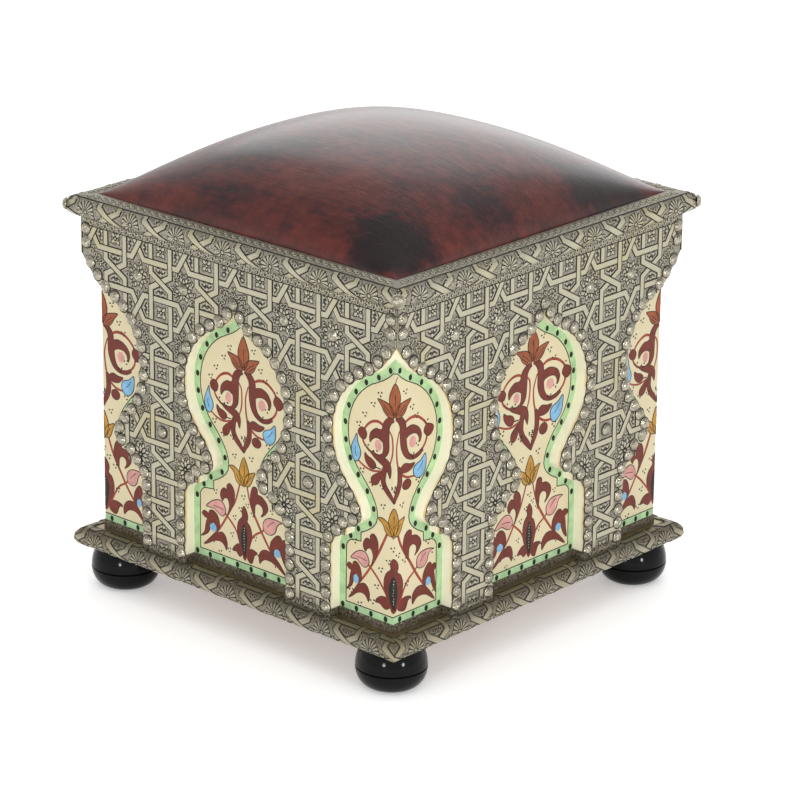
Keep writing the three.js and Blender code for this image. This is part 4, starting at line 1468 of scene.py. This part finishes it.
def paint_garden_right(painting):
    """Right of the lower field."""
    shape, line, leaf, patch = painting.shape, painting.line, painting.leaf, painting.patch
    line("line_red", 0.1, (5, 155, 2.2), (10, 142.6, 2.6), (16.7, 129.9, 2.8), (27.9, 113.2, 2.6),
         (37.9, 99.4, 2.4), (54, 79.2, 1.4))
    line("line_red", 0.12, (30.6, 115.8, 1.6), (27.9, 113.2, 2), (19.3, 107.5, 2.1), (13.3, 99.8, 2.1),
         (8.5, 90, 2), (2, 80.5, 1.8))
    shape("dark_red", 0.14, (18.6, 125.8), (19.3, 131.6), (20.1, 136.5), (23.1, 139.2), (26.6, 138.9),
          (29.5, 136.1), (29.6, 131.7), (27.3, 127.8), (32, 130.8), (35.1, 134.6), (36, 138.2), (34, 142.7),
          (29.1, 146.7), (24.5, 147.4), (23.2, 148.8), (23, 152), (20.3, 154), (16.8, 152.8), (14.1, 148.9),
          (12.8, 143), (13, 137.2), (15.6, 131.4))
    leaf("pink", 0.2, [(50.2, 128.3), (44.4, 129.5), (37.3, 129), (32.1, 126), (29.9, 121.5), (30.9, 116),
         (35, 113.4), (40.3, 113.9), (43.8, 118), (45.1, 122.8), (47.2, 126.2)],
         [(42.7, 127), (38.3, 123.5), (35.1, 119.7)])
    shape("dark_red", 0.16, (56, 84.8), (52.3, 89.6), (50.2, 94.9), (48.4, 99.6), (45.8, 101.9),
          (42.9, 100.5), (42.2, 95.6), (39, 99), (39.3, 105.2), (42, 111), (45.6, 114.8), (48.4, 114.6),
          (50.7, 111.6), (53, 112.9), (56, 111.2), (56, 107.9), (53.2, 106.1), (53.7, 101), (54.4, 94.4))
    patch("blue", oval(45.8, 97.9, 3.1, 4.1), 0.2)
    shape("dark_red", 0.15, (54, 79), (47.8, 88.2), (41.5, 94.6), (36.2, 96.9), (30.9, 96.2), (26.9, 93.1),
          (24.7, 88.6), (25.5, 82.2), (29.3, 85.9), (33.7, 88), (39.9, 87.8), (45.2, 85.4))
    shape("dark_red", 0.18, (22.6, 90.3), (16.9, 92.1), (12.5, 91.9), (8.8, 90.3), (6, 86.6), (6.6, 81.6),
          (12.7, 79.1), (15.9, 80.6), (17.6, 84.5), (19.2, 87.8))


def paint_ticks(painting):
    """Small dark ticks in threes over the cream ground."""
    spots = ((13, 284), (-17, 281), (22, 268), (-25, 270), (-35, 258), (28, 259), (41, 250), (-42, 248),
             (23, 223), (-22, 226), (30, 232), (-32, 229), (14, 196), (-14, 196), (-26, 196), (31, 198),
             (10, 180), (-12, 178), (0, 198), (-37, 206), (0, 196.5), (6, 134), (-6, 128), (0, 141),
             (14, 127), (-15, 118), (45, 136), (-46, 137), (50, 126), (18, 104), (-19, 101), (25, 88),
             (-24, 85), (50, 86), (-50, 89), (-39, 79))
    for number, (x, z) in enumerate(spots):
        for step, (across, up) in enumerate(((-2.4, 0.7), (1.5, 1.6), (0.3, -1.7))):
            angle = 0.9 * math.sin(number * 2.3 + step * 1.7)
            run = Vector((math.cos(angle), math.sin(angle))) * 0.95
            middle = Vector((x + across, z + up))
            painting.stroke("black", [tuple(middle - run), tuple(middle + run)], 0.12, 1.3)


def flat_mesh(shapes):
    """A bmesh of paint slabs in plane coordinates, rooted a little way into the panel and split
    along the middle line."""
    mesh, sink = bmesh.new(), 0.05
    for points, faces, loops, layer in shapes:
        low, high = [[mesh.verts.new((x, y, up)) for x, y in points] for up in (-sink, layer)]
        for face in faces:
            mesh.faces.new([high[i] for i in face])
            mesh.faces.new([low[i] for i in reversed(face)])
        for loop in loops:
            for a, b in [loop] if len(loop) == 2 else zip(loop, loop[1:] + loop[:1]):
                mesh.faces.new([low[a], low[b], high[b], high[a]])
    everything = [*mesh.verts, *mesh.edges, *mesh.faces]
    bmesh.ops.bisect_plane(mesh, geom=everything, dist=1e-5, plane_co=(0, 0, 0), plane_no=(1, 0, 0))
    mesh.verts.ensure_lookup_table()
    return mesh


# Slight differences between the hand-painted niches: how much wider and how much higher the upper
# scrolls are, by niche, the four middle ones first
HANDS = ((0.98, -1.0), (1.1, 6.0), (1.04, 1.0), (1.08, 3.0),
         (1.0, 0.0), (1.03, -1.0), (0.98, 2.0), (1.02, 1.0))
# The motif is drawn for the corner between the front and the right side, over a ledge this high
DRAWN_LEDGE = 62.0


def gathered(x):
    """A place in the lower field as the middle niches have it: closer to the middle line than in
    the corner niches, for which it is drawn."""
    far = abs(x)
    near = far * 11 / 17 if far < 17 else far - 6 if far < 39 else 33 + (far - 39) * 23 / 17.9
    return math.copysign(near, x)


def stamp(painting, colour):
    """One colour of a painting on all eight niches: four in the middle of a side, four folded
    round a corner."""
    mesh = flat_mesh(painting.shapes[colour])
    places, faces = [], []
    on_line, lower_field, squeeze = 1e-4, 140, 0.78
    for number, (wide, high) in enumerate(HANDS):
        turn, folded = number % 4, number >= 4
        start = len(places)
        for vertex in mesh.verts:
            x, y, stand = vertex.co
            if not painting.still:
                # Only the scrolls are wider and higher, fading out over the waist and at the tip
                upper = max(0.0, min(1.0, (y - 178) / 40)) * max(0.0, min(1.0, (296 - y) / 10 + 0.4))
                dx, dy = wiggle(x, y, number)
                x = x * (1 + (wide - 1) * upper) + (dx if abs(x) > on_line else 0.0)
                y += high * upper + dy + ledge_height - DRAWN_LEDGE
                if painting.gather and not folded:
                    x = gathered(x)
                elif not folded and vertex.co.y < lower_field:
                    x *= squeeze
            out = core_half + stand
            if not folded:
                places.append(place(turn, x, out, y))
            elif x <= 1e-5:
                places.append(place(turn, out if abs(x) <= on_line else core_half + x, out, y))
            else:
                places.append(place(turn + 1, x - core_half, out, y))
        faces += [[start + v.index for v in face.verts] for face in mesh.faces]
    mesh.free()
    return places, faces


# Operators

class KURSI_OT_arcade_metal(bpy.types.Operator):
    """Pressed sheets of interlaced straps on the four sides of the arcade"""
    bl_idname = "kursi.arcade_metal"
    bl_label = "Arcade metal"

    def execute(self, context):
        sizes = Millimetres(settings().straps)
        outline = fascia_outline()
        columns, rows = lattice()
        low, high = ledge_height + sizes.band_height, fascia_top - sizes.band_height
        shapes = limited(pattern_shapes(columns, rows), low, high)
        shapes += [(across_all(fascia_half, *ends), GROOVE, True)
                   for ends in ((high, high + 0.7), (low - 0.7, low), (fascia_top - 1.2, fascia_top))]
        shapes += [(vine(middle), RIM, True) for middle in band_middles()]
        pieces = relief_pieces(["pressed_arcade_" + side for side in SIDES], outline, shapes,
                               lambda turn, x, y, height: place(turn, x, fascia_half + height, y))
        for piece, side in zip(pieces, SIDES):
            settle(piece, "nickel_sheet", "arcade_sheet_" + side)
        return {"FINISHED"}


class KURSI_OT_round_edges(bpy.types.Operator):
    """Pressed sheets round the edge of the top frame and of the base"""
    bl_idname = "kursi.round_edges"
    bl_label = "Round edges"

    def execute(self, context):
        for key, edge, shapes, stop in edge_patterns():
            foot, top, past_mitre = -edge.quarter, stop + 1.8, 210
            shapes += [(across_all(past_mitre, *ends), GROOVE, True)
                       for ends in ((stop, top), (foot, foot + 2))]
            pieces = relief_pieces([f"pressed_{key}_edge_{side}" for side in SIDES], edge.outline(), shapes,
                                   edge.put, edge.cuts(), plain_above=top if key == "base" else None)
            for piece, side in zip(pieces, SIDES):
                settle(piece, "nickel_sheet", f"{key}_sheet_{side}")
        return {"FINISHED"}


class KURSI_OT_filigree(bpy.types.Operator):
    """Flowers, rosettes, beads and scrolls raised in the cells between the straps"""
    bl_idname = "kursi.filigree"
    bl_label = "Filigree"

    def execute(self, context):
        sizes, own = Millimetres(settings().straps), Millimetres(settings().nails)
        outline, nails = fascia_outline(), star_nails()
        squares, stars, small = cell_spots()
        points, taken = {}, []

        def add(key, surface, x, y, spin=0.0):
            out, up, away = surface(y)
            points.setdefault(key, []).extend(
                (place(turn, x, out, up), turn_to(facing(turn, away.x, away.y), spin)) for turn in range(4))

        def add_scroll(surface, x, y, side, spin):
            add("scrolls_forward" if side > 0 else "scrolls_backward", surface, x, y, spin * side)

        def fill(surface, *places):
            for number, (x, y) in enumerate(bare_places(*places)):
                for side in (1, -1) if x else (1,):
                    add_scroll(surface, side * x, y, side, number * 2.4)

        def flat(height):
            return fascia_half, height, Vector((1.0, 0.0))

        # Each form's name and cells, its room to the edge and to the nails, and its own radius
        for key, cells, room, nail_room, radius in (("petal_flowers", squares, 6, 6, 7.6),
                                                    ("rosette_hearts", stars, 9, -1, 10.4),
                                                    ("bead_trefoils", small, 4, 9, 5.2)):
            for spot in roomy(outline, cells, room, nails, nail_room):
                add(key, flat, *spot)
                taken.append((*spot[:2], radius))
        taken += [(x, z, own.width / 2 + own.line) for x, z in nails]
        for line in (beside(full_arch(), -own.inset), beside(corner_arch(), own.inset)):
            taken += [(x, z, own.width / 2) for x, z in evenly(line, 3)]
        low, high = ledge_height + sizes.band_height, fascia_top - sizes.band_height
        fill(flat, outline, limited(pattern_shapes(*lattice()), low, high), taken, low, high)
        # One scroll in each bend of the vines and, in two staggered rows, along the top's flat lip
        lip, half_wave, from_edge = top_edge(), VINE_WAVE / 2, 2.2
        for i in range(-41, 42):
            for middle in band_middles():
                x = (i + 0.5) * half_wave
                side = math.copysign(1.0, math.sin(2 * math.pi * x / VINE_WAVE))
                up = middle - 1.3 * side
                if inside(outline, (x, up)) and distance_to(outline, (x, up)) > from_edge:
                    add_scroll(flat, x, up, side, math.pi / 2)
            side = 1 if i % 2 else -1
            run = (lip.quarter * 0.66 + lip.end + 1.5) / 2 + 1.5 * side
            if abs(i * half_wave) < lip.section(run)[0] - 4:
                add_scroll(lip.section, i * half_wave, run, side, math.pi / 2)
        for _, edge, shapes, stop in edge_patterns():
            fill(edge.section, edge.outline(), shapes, [], -edge.quarter * 0.8, stop)
        for key, draw in (("petal_flowers", petal_flower), ("rosette_hearts", rosette_heart),
                          ("scrolls_forward", partial(scroll, hand=1)),
                          ("scrolls_backward", partial(scroll, hand=-1)), ("bead_trefoils", bead_trefoil)):
            # Each form also gets a flat dark copy a little wider beneath it: its painted shadow
            for ending, look, border in (("", "form", 0.0), ("_lines", "groove", sizes.form_line)):
                forms = Forms(border)
                draw(forms)
                scattered(key + ending, forms, look, points[key])
        return {"FINISHED"}


class KURSI_OT_nails(bpy.types.Operator):
    """Dome nails along every arch, in the star cells and on the corners"""
    bl_idname = "kursi.nails"
    bl_label = "Dome nails"

    def execute(self, context):
        nails, edge = Millimetres(settings().nails), top_edge()
        half = [p for p in beside(full_arch(), -nails.inset) if p[0] > nails.apart]
        corner = [p for p in beside(corner_arch(), nails.inset) if p[0] < fascia_half - 9]
        points, edges, spots, lowest = [], [], [], ledge_height + nails.lowest
        for turn in range(4):
            upright = turn_to(facing(turn, 1, 0))
            for line in (half, corner):
                for side in (1, -1):
                    first = len(points)
                    points += [(place(turn, side * x, fascia_half, max(z, lowest)), upright) for x, z in line]
                    edges += [(i, i + 1) for i in range(first, len(points) - 1)]
            spots += [(place(turn, x, fascia_half, z), upright) for x, z in star_nails()]
        uneven = dict(least_size=0.95, most_size=1.05, tilt=0.09, seed=settings().nails.seed)
        apart = nails.spacing * MM
        scattered("dome_nails", nail_head(), "nail", points, edges, spacing=apart, **uneven)
        # A thin dark disc under every nail paints its shadow
        scattered("dome_nail_lines", nail_shadow_disc(), "groove", points, edges, spacing=apart)
        scattered("cell_nail_lines", nail_shadow_disc(), "groove", spots)
        # One on each corner of the top, set a little into its sharp mitre
        for turn in range(4):
            out = edge.section(0.0)[0] - 0.6
            outward = (facing(turn, 1, 0) + facing(turn + 1, 1, 0)).normalized()
            spots.append((place(turn, out, out, edge.middle + 1.0), turn_to(outward)))
        scattered("cell_nails", nail_head(), "nail", spots, **uneven)
        return {"FINISHED"}


class KURSI_OT_boards(bpy.types.Operator):
    """Arcade boards with smooth arches and painted edges"""
    bl_idname = "kursi.boards"
    bl_label = "Arcade boards"

    def execute(self, context):
        outline = [(max(-board_face, min(board_face, x)), z) for x, z in fascia_outline()]
        cuts = [((x, ledge_height - 1), (x, fascia_top + 1)) for x in (-core_half, core_half)]
        points, triangles, _ = region_map(outline, [], cuts)

        def put(turn, x, z, level):
            out = board_face if level else max(core_half, abs(x))
            return place(turn, x, out, z)

        for turn, side in enumerate(SIDES):
            places, faces, steps = stepped_plate(points, triangles, [1] * len(triangles), partial(put, turn))
            piece = new_piece("arcade_board_" + side, places, faces, [finish("reveal"), finish("wood")],
                              [0 if step == -1 else 1 for step in steps], crease=35)
            settle(piece, "arcade_wood", "arcade_" + side)
        return {"FINISHED"}


class KURSI_OT_painting(bpy.types.Operator):
    """The painted border, palmettes, scrolls, flowers and ticks of the eight niches"""
    bl_idname = "kursi.painting"
    bl_label = "Painted niches"

    def execute(self, context):
        border, motif, field = Painting(still=True), Painting(), Painting(gather=True)
        paint_border(border)
        for paint in (paint_palmettes, paint_wishbone_left, paint_wishbone_right, paint_bud, paint_ticks):
            paint(motif)
        paint_garden_left(field)
        paint_garden_right(field)
        slabs = {}
        for painting in (border, motif, field):
            for colour in painting.shapes:
                places, faces = slabs.setdefault(colour, ([], []))
                more_places, more_faces = stamp(painting, colour)
                faces += [[i + len(places) for i in face] for face in more_faces]
                places += more_places
        for colour, (places, faces) in slabs.items():
            settle(new_piece("painted_" + colour, places, faces, [finish(colour)]), "painted_panel")
        return {"FINISHED"}


class KURSI_OT_seat(bpy.types.Operator):
    """The domed leather seat over its foam"""
    bl_idname = "kursi.seat"
    bl_label = "Seat"

    def execute(self, context):
        seat = settings().seat
        sizes = Millimetres(seat)
        hide = crowned_form("leather_seat", leather_half, leather_bottom, top_rim, leather_top, seat.steps,
                            sizes.lip)
        press(hide, seat.pressure, sizes.swell, top_rim)
        line_inside(hide, leather_half, leather_bottom, top_rim, sizes.thickness)
        hide.data.materials.append(finish("leather"))
        settle(hide, "seat_leather", "leather_cover")
        rim = foam_top - (leather_top - top_rim)
        pad = crowned_form("seat_foam", foam_half, foam_bottom, rim, foam_top, seat.steps // 2)
        pad.data.materials.append(finish("foam"))
        settle(pad, "seat_foam", "foam_pad")
        return {"FINISHED"}


def crown_share(x, y):
    """How far up the crown a place lies, from its shares of the half width."""
    seat = settings().seat
    return ((1 - min(1.0, abs(x)) ** seat.power) * (1 - min(1.0, abs(y)) ** seat.power)) ** seat.roundness


def crowned_form(name, half, bottom, rim, top, steps, lip=None):
    """A pad with a crowned top and upright sides, finer at its edges. Its bottom is flat and
    closed, or open inside a turned lip of that width."""
    shares = [math.sin(math.pi / 2 * (2 * i / steps - 1)) for i in range(steps + 1)]
    rows = steps + 1
    points = [Vector((x * half, y * half, rim + (top - rim) * crown_share(x, y))) * MM
              for y in shares for x in shares]
    faces = [(r * rows + c, r * rows + c + 1, (r + 1) * rows + c + 1, (r + 1) * rows + c)
             for r in range(steps) for c in range(steps)]
    border = ([c for c in range(steps)] + [r * rows + steps for r in range(steps)]
              + [steps * rows + c for c in range(steps, 0, -1)] + [r * rows for r in range(steps, 0, -1)])
    levels = max(2, round((rim - bottom) / 5))
    # Each ring below the rim: its share of the half width and its height
    below = [(1, rim - (rim - bottom) * level / levels) for level in range(1, levels + 1)]
    if lip:
        below.append((1 - lip / half, bottom))
    ring = border
    for share, up in below:
        lower = list(range(len(points), len(points) + len(border)))
        points += [Vector((points[i].x * share, points[i].y * share, up * MM)) for i in border]
        faces += [(b, a, c, d) for a, b, c, d in zip(ring, ring[1:] + ring[:1], lower, lower[1:] + lower[:1])]
        ring = lower
    if not lip:
        faces.append(tuple(ring[::-1]))
    return new_piece(name, points, faces, [], crease=50)


def press(piece, pressure, swell, rim):
    """Simulates the hide under the foam's pressure, pinned where it goes into the frame, then
    keeps each point within the swell of where it was."""
    rest = [v.co.copy() for v in piece.data.vertices]
    held = piece.vertex_groups.new(name="held")
    for vertex in piece.data.vertices:
        above = vertex.co.z / MM - rim
        held.add([vertex.index], max(0.0, min(1.0, 1 - (above - 1.5) / 14)), "REPLACE")
    cloth = piece.modifiers.new("Cloth", "CLOTH")
    for key, value in {"quality": 5, "vertex_group_mass": "held", "use_pressure": True,
                       "uniform_pressure_force": pressure, "tension_stiffness": 20,
                       "compression_stiffness": 20, "bending_stiffness": 2}.items():
        setattr(cloth.settings, key, value)
    cloth.settings.effector_weights.gravity = 0
    last = cloth.point_cache.frame_end = 16
    for number in range(1, last + 1):
        bpy.context.scene.frame_set(number)
    moved = piece.evaluated_get(bpy.context.evaluated_depsgraph_get()).data
    after = [v.co.copy() for v in moved.vertices]
    piece.modifiers.clear()
    for vertex, before, now in zip(piece.data.vertices, rest, after):
        step = now - before
        if step.length > swell * MM:
            step = step.normalized() * (swell * MM)
        vertex.co = before + step
    piece.vertex_groups.clear()
    bpy.context.scene.frame_set(1)


def line_inside(piece, half, bottom, rim, thickness):
    """Gives the open hide its thickness: a second skin inside it, joined along the lip's edge."""
    outer = [v.co / MM for v in piece.data.vertices]
    faces = [tuple(p.vertices) for p in piece.data.polygons]
    share, count = 1 - thickness / half, len(outer)
    inner = []
    for x, y, z in outer:
        up = 2 * max(0.0, min(1.0, (z - bottom) / (rim - bottom))) - 1
        inner.append(Vector((x * share, y * share, z - up * thickness)))
    edge = rim_of(faces)
    faces += [tuple(count + i for i in reversed(face)) for face in faces]
    faces += [(b, a, count + a, count + b) for a, b in edge]
    mesh = bpy.data.meshes.new(piece.name)
    mesh.from_pydata([Vector(p) * MM for p in outer + inner], [], faces)
    smooth(mesh, 50)
    piece.data = mesh


class KURSI_OT_feet(bpy.types.Operator):
    """Four turned and lacquered bun feet"""
    bl_idname = "kursi.feet"
    bl_label = "Feet"

    def execute(self, context):
        sizes, turns = Millimetres(settings().feet), settings().feet.turns
        groove_low, groove_high = [sizes.groove_height + way * sizes.groove_half for way in (-1, 1)]
        profile = []
        for angle in [math.pi / 2 * i / 14 for i in range(15)]:
            profile.append((sizes.pad_radius + (sizes.radius - sizes.pad_radius) * math.sin(angle),
                            groove_low * (1 - math.cos(angle))))
        profile.append((sizes.radius - sizes.groove_depth, sizes.groove_height))
        for height in [groove_high + (foot_height - groove_high) * i / 12 for i in range(13)]:
            share = (height - sizes.groove_height) / sizes.oval
            profile.append((sizes.radius * math.sqrt(1 - share ** 2), height))
        socket = foot_height - sizes.socket_depth
        profile += [(sizes.socket_radius, foot_height), (sizes.socket_radius, socket)]
        faces = tube(len(profile), turns, 1)
        last = 1 + len(profile) * turns
        for i in range(turns):
            j = (i + 1) % turns
            faces += [(0, 1 + j, 1 + i), (last - turns + i, last - turns + j, last)]
        for corner, (side_x, side_y) in zip(CORNERS, ((1, -1), (1, 1), (-1, 1), (-1, -1))):
            middle = Vector((side_x * foot_middle, side_y * foot_middle, 0.0))
            points = [Vector((x, y, up)) for radius, up in profile for x, y in disc(0, 0, radius, turns)]
            points = [Vector(), *points, Vector((0, 0, socket))]
            piece = new_piece("bun_foot_" + corner, [(point + middle) * MM for point in points], faces,
                              [finish("lacquer")], crease=40)
            settle(piece, "black_lacquer", "foot_" + corner)
        return {"FINISHED"}


class KURSI_OT_inner_parts(bpy.types.Operator):
    """Finishes of the frame's own nodes: posts, rails, boards, dowels, screws and skirtings"""
    bl_idname = "kursi.inner_parts"
    bl_label = "Inner parts"

    def execute(self, context):
        looks = {"frame_wood": "wood", "nickel_sheet": "skirting", "screw_steel": "steel",
                 "painted_panel": "panel", "arcade_wood": "reveal"}
        slots = {row["node"]: row["material_slot"] for row in frame["record"]["subparts"]}
        for name, node in frame["nodes"].items():
            if node.hide_render or slots[name] not in looks:
                continue
            node.data.materials.clear()
            node.data.materials.append(finish(looks[slots[name]]))
        return {"FINISHED"}


class KURSI_OT_stage(bpy.types.Operator):
    """Pale floor, soft lights and the camera"""
    bl_idname = "kursi.stage"
    bl_label = "Stage"

    def execute(self, context):
        scene = context.scene
        scene.view_settings.view_transform = "Standard"
        world = bpy.data.worlds.new("studio")
        world.use_nodes = True
        world.node_tree.nodes.clear()
        add = partial(add_node, world.node_tree)
        path = add("LightPath").outputs
        clear = add("Math", {0: path["Is Camera Ray"], 1: path["Is Transmission Ray"]}, operation="MAXIMUM")
        # Gloss shows the white backdrop low down and the dim ceiling of the studio high up
        rise = add("SeparateXYZ", {"Vector": add("TexCoord").outputs["Generated"]}).outputs["Z"]
        room = add("MapRange", {"Value": rise, "From Min": 0.25, "From Max": 0.85, "To Min": 1.0,
                                "To Max": 0.3})
        lit = add("MapRange", {"Value": path["Is Glossy Ray"], "To Min": 0.79, "To Max": room})
        strength = add("Math", {0: lit, 1: clear}, operation="MAXIMUM")
        sky = add("Background", {"Color": (1, 1, 1, 1), "Strength": strength})
        add("OutputWorld", {"Surface": sky})
        scene.world = world
        floor = new_piece("floor", [(-9, -9, 0), (9, -9, 0), (9, 9, 0), (-9, 9, 0)], [(0, 1, 2, 3)],
                          [floor_material()])
        for name, spot, size, watts in (("left_softbox", (0.91, -2.38, 0.4), 0.32, 10),
                                        ("right_softbox", (2.48, -0.57, 0.4), 0.32, 12),
                                        ("top_softbox", (0.8, -0.9, 2.9), 2.4, 10),
                                        ("back_softbox", (-1.5, 2.2, 1.4), 2.4, 17)):
            data = bpy.data.lights.new(name, "AREA")
            data.shape = "DISK"
            data.size, data.energy = size, watts
            lamp = bpy.data.objects.new(name, data)
            lamp.location = spot
            lamp.rotation_euler = (Vector((0, 0, 0.25)) - Vector(spot)).to_track_quat("-Z", "Y").to_euler()
            scene.collection.objects.link(lamp)
        camera_at_photo(scene)
        return {"FINISHED"}


def floor_material():
    """Seamless white paper: matt, takes the shadow, and glows a little where the camera or gloss
    sees it."""
    material = mottled("studio_paper", linear("#FBFBFB"), linear("#FFFFFF"), "TexNoise", 400,
                       {"Detail": 1.0}, values=(0.9,))
    nodes, add = material.node_tree.nodes, partial(add_node, material.node_tree)
    path = add("LightPath").outputs
    seen = add("Math", {0: path["Is Camera Ray"], 1: path["Is Glossy Ray"]}, operation="MAXIMUM")
    clear = add("Math", {0: seen, 1: path["Is Transmission Ray"]}, operation="MAXIMUM")
    lift = add("Math", {0: clear, 1: 0.32}, operation="MULTIPLY")
    glow = add("Emission", {"Color": (1, 1, 1, 1), "Strength": lift})
    total = add("AddShader", {0: nodes["Principled BSDF"], 1: glow})
    material.node_tree.links.new(total.outputs[0], nodes["Material Output"].inputs["Surface"])
    return material


def camera_at_photo(scene):
    """The camera that was fitted to the photograph's edges."""
    azimuth, elevation, roll = math.radians(42.05), math.radians(19.84), math.radians(0.617)
    distance, lens = 3.4392, 166.03
    across = Vector((math.cos(azimuth), math.sin(azimuth), 0))
    back = Vector((math.sin(azimuth) * math.cos(elevation), -math.cos(azimuth) * math.cos(elevation),
                   math.sin(elevation)))
    upward = back.cross(across)
    target = across * 0.0174 + Vector((0, 0, 0.18135))
    right = across * math.cos(roll) + upward * math.sin(roll)
    up = upward * math.cos(roll) - across * math.sin(roll)
    data = bpy.data.cameras.new("camera")
    data.lens, data.sensor_width, data.clip_end = lens, 36.0, 50
    camera = bpy.data.objects.new("camera", data)
    turned = Matrix((right, up, back)).transposed().to_4x4()
    camera.matrix_world = Matrix.Translation(target + back * distance) @ turned
    scene.collection.objects.link(camera)
    scene.camera = camera


class KURSI_PT_panel(bpy.types.Panel):
    """Builders and sizes of the stool, in the 3D view's sidebar"""
    bl_label = "Kursi stool"
    bl_idname = "KURSI_PT_panel"
    bl_space_type = "VIEW_3D"
    bl_region_type = "UI"
    bl_category = "Kursi stool"

    def draw(self, context):
        for operator in OPERATORS:
            self.layout.operator(operator.bl_idname)
        for group in ("niche", "straps", "nails", "seat", "feet", "finishes"):
            box = self.layout.box()
            box.label(text=group.capitalize())
            sizes = getattr(context.scene.kursi, group)
            for name in sizes.__annotations__:
                box.prop(sizes, name)


OPERATORS = (KURSI_OT_stage, KURSI_OT_arcade_metal, KURSI_OT_round_edges, KURSI_OT_filigree, KURSI_OT_nails,
             KURSI_OT_boards, KURSI_OT_painting, KURSI_OT_seat, KURSI_OT_feet, KURSI_OT_inner_parts)
GROUPS = (NicheSizes, StrapSizes, NailSizes, SeatSizes, FootSizes, Finishes, KursiSettings)


def register():
    for item in (*GROUPS, *OPERATORS, KURSI_PT_panel):
        bpy.utils.register_class(item)
    bpy.types.Scene.kursi = PointerProperty(type=KursiSettings)


def unregister():
    del bpy.types.Scene.kursi
    for item in reversed((*GROUPS, *OPERATORS, KURSI_PT_panel)):
        bpy.utils.unregister_class(item)


def main():
    register()
    for operator in OPERATORS:
        category, name = operator.bl_idname.split(".")
        getattr(getattr(bpy.ops, category), name)()


if __name__ == "__main__":
    main()
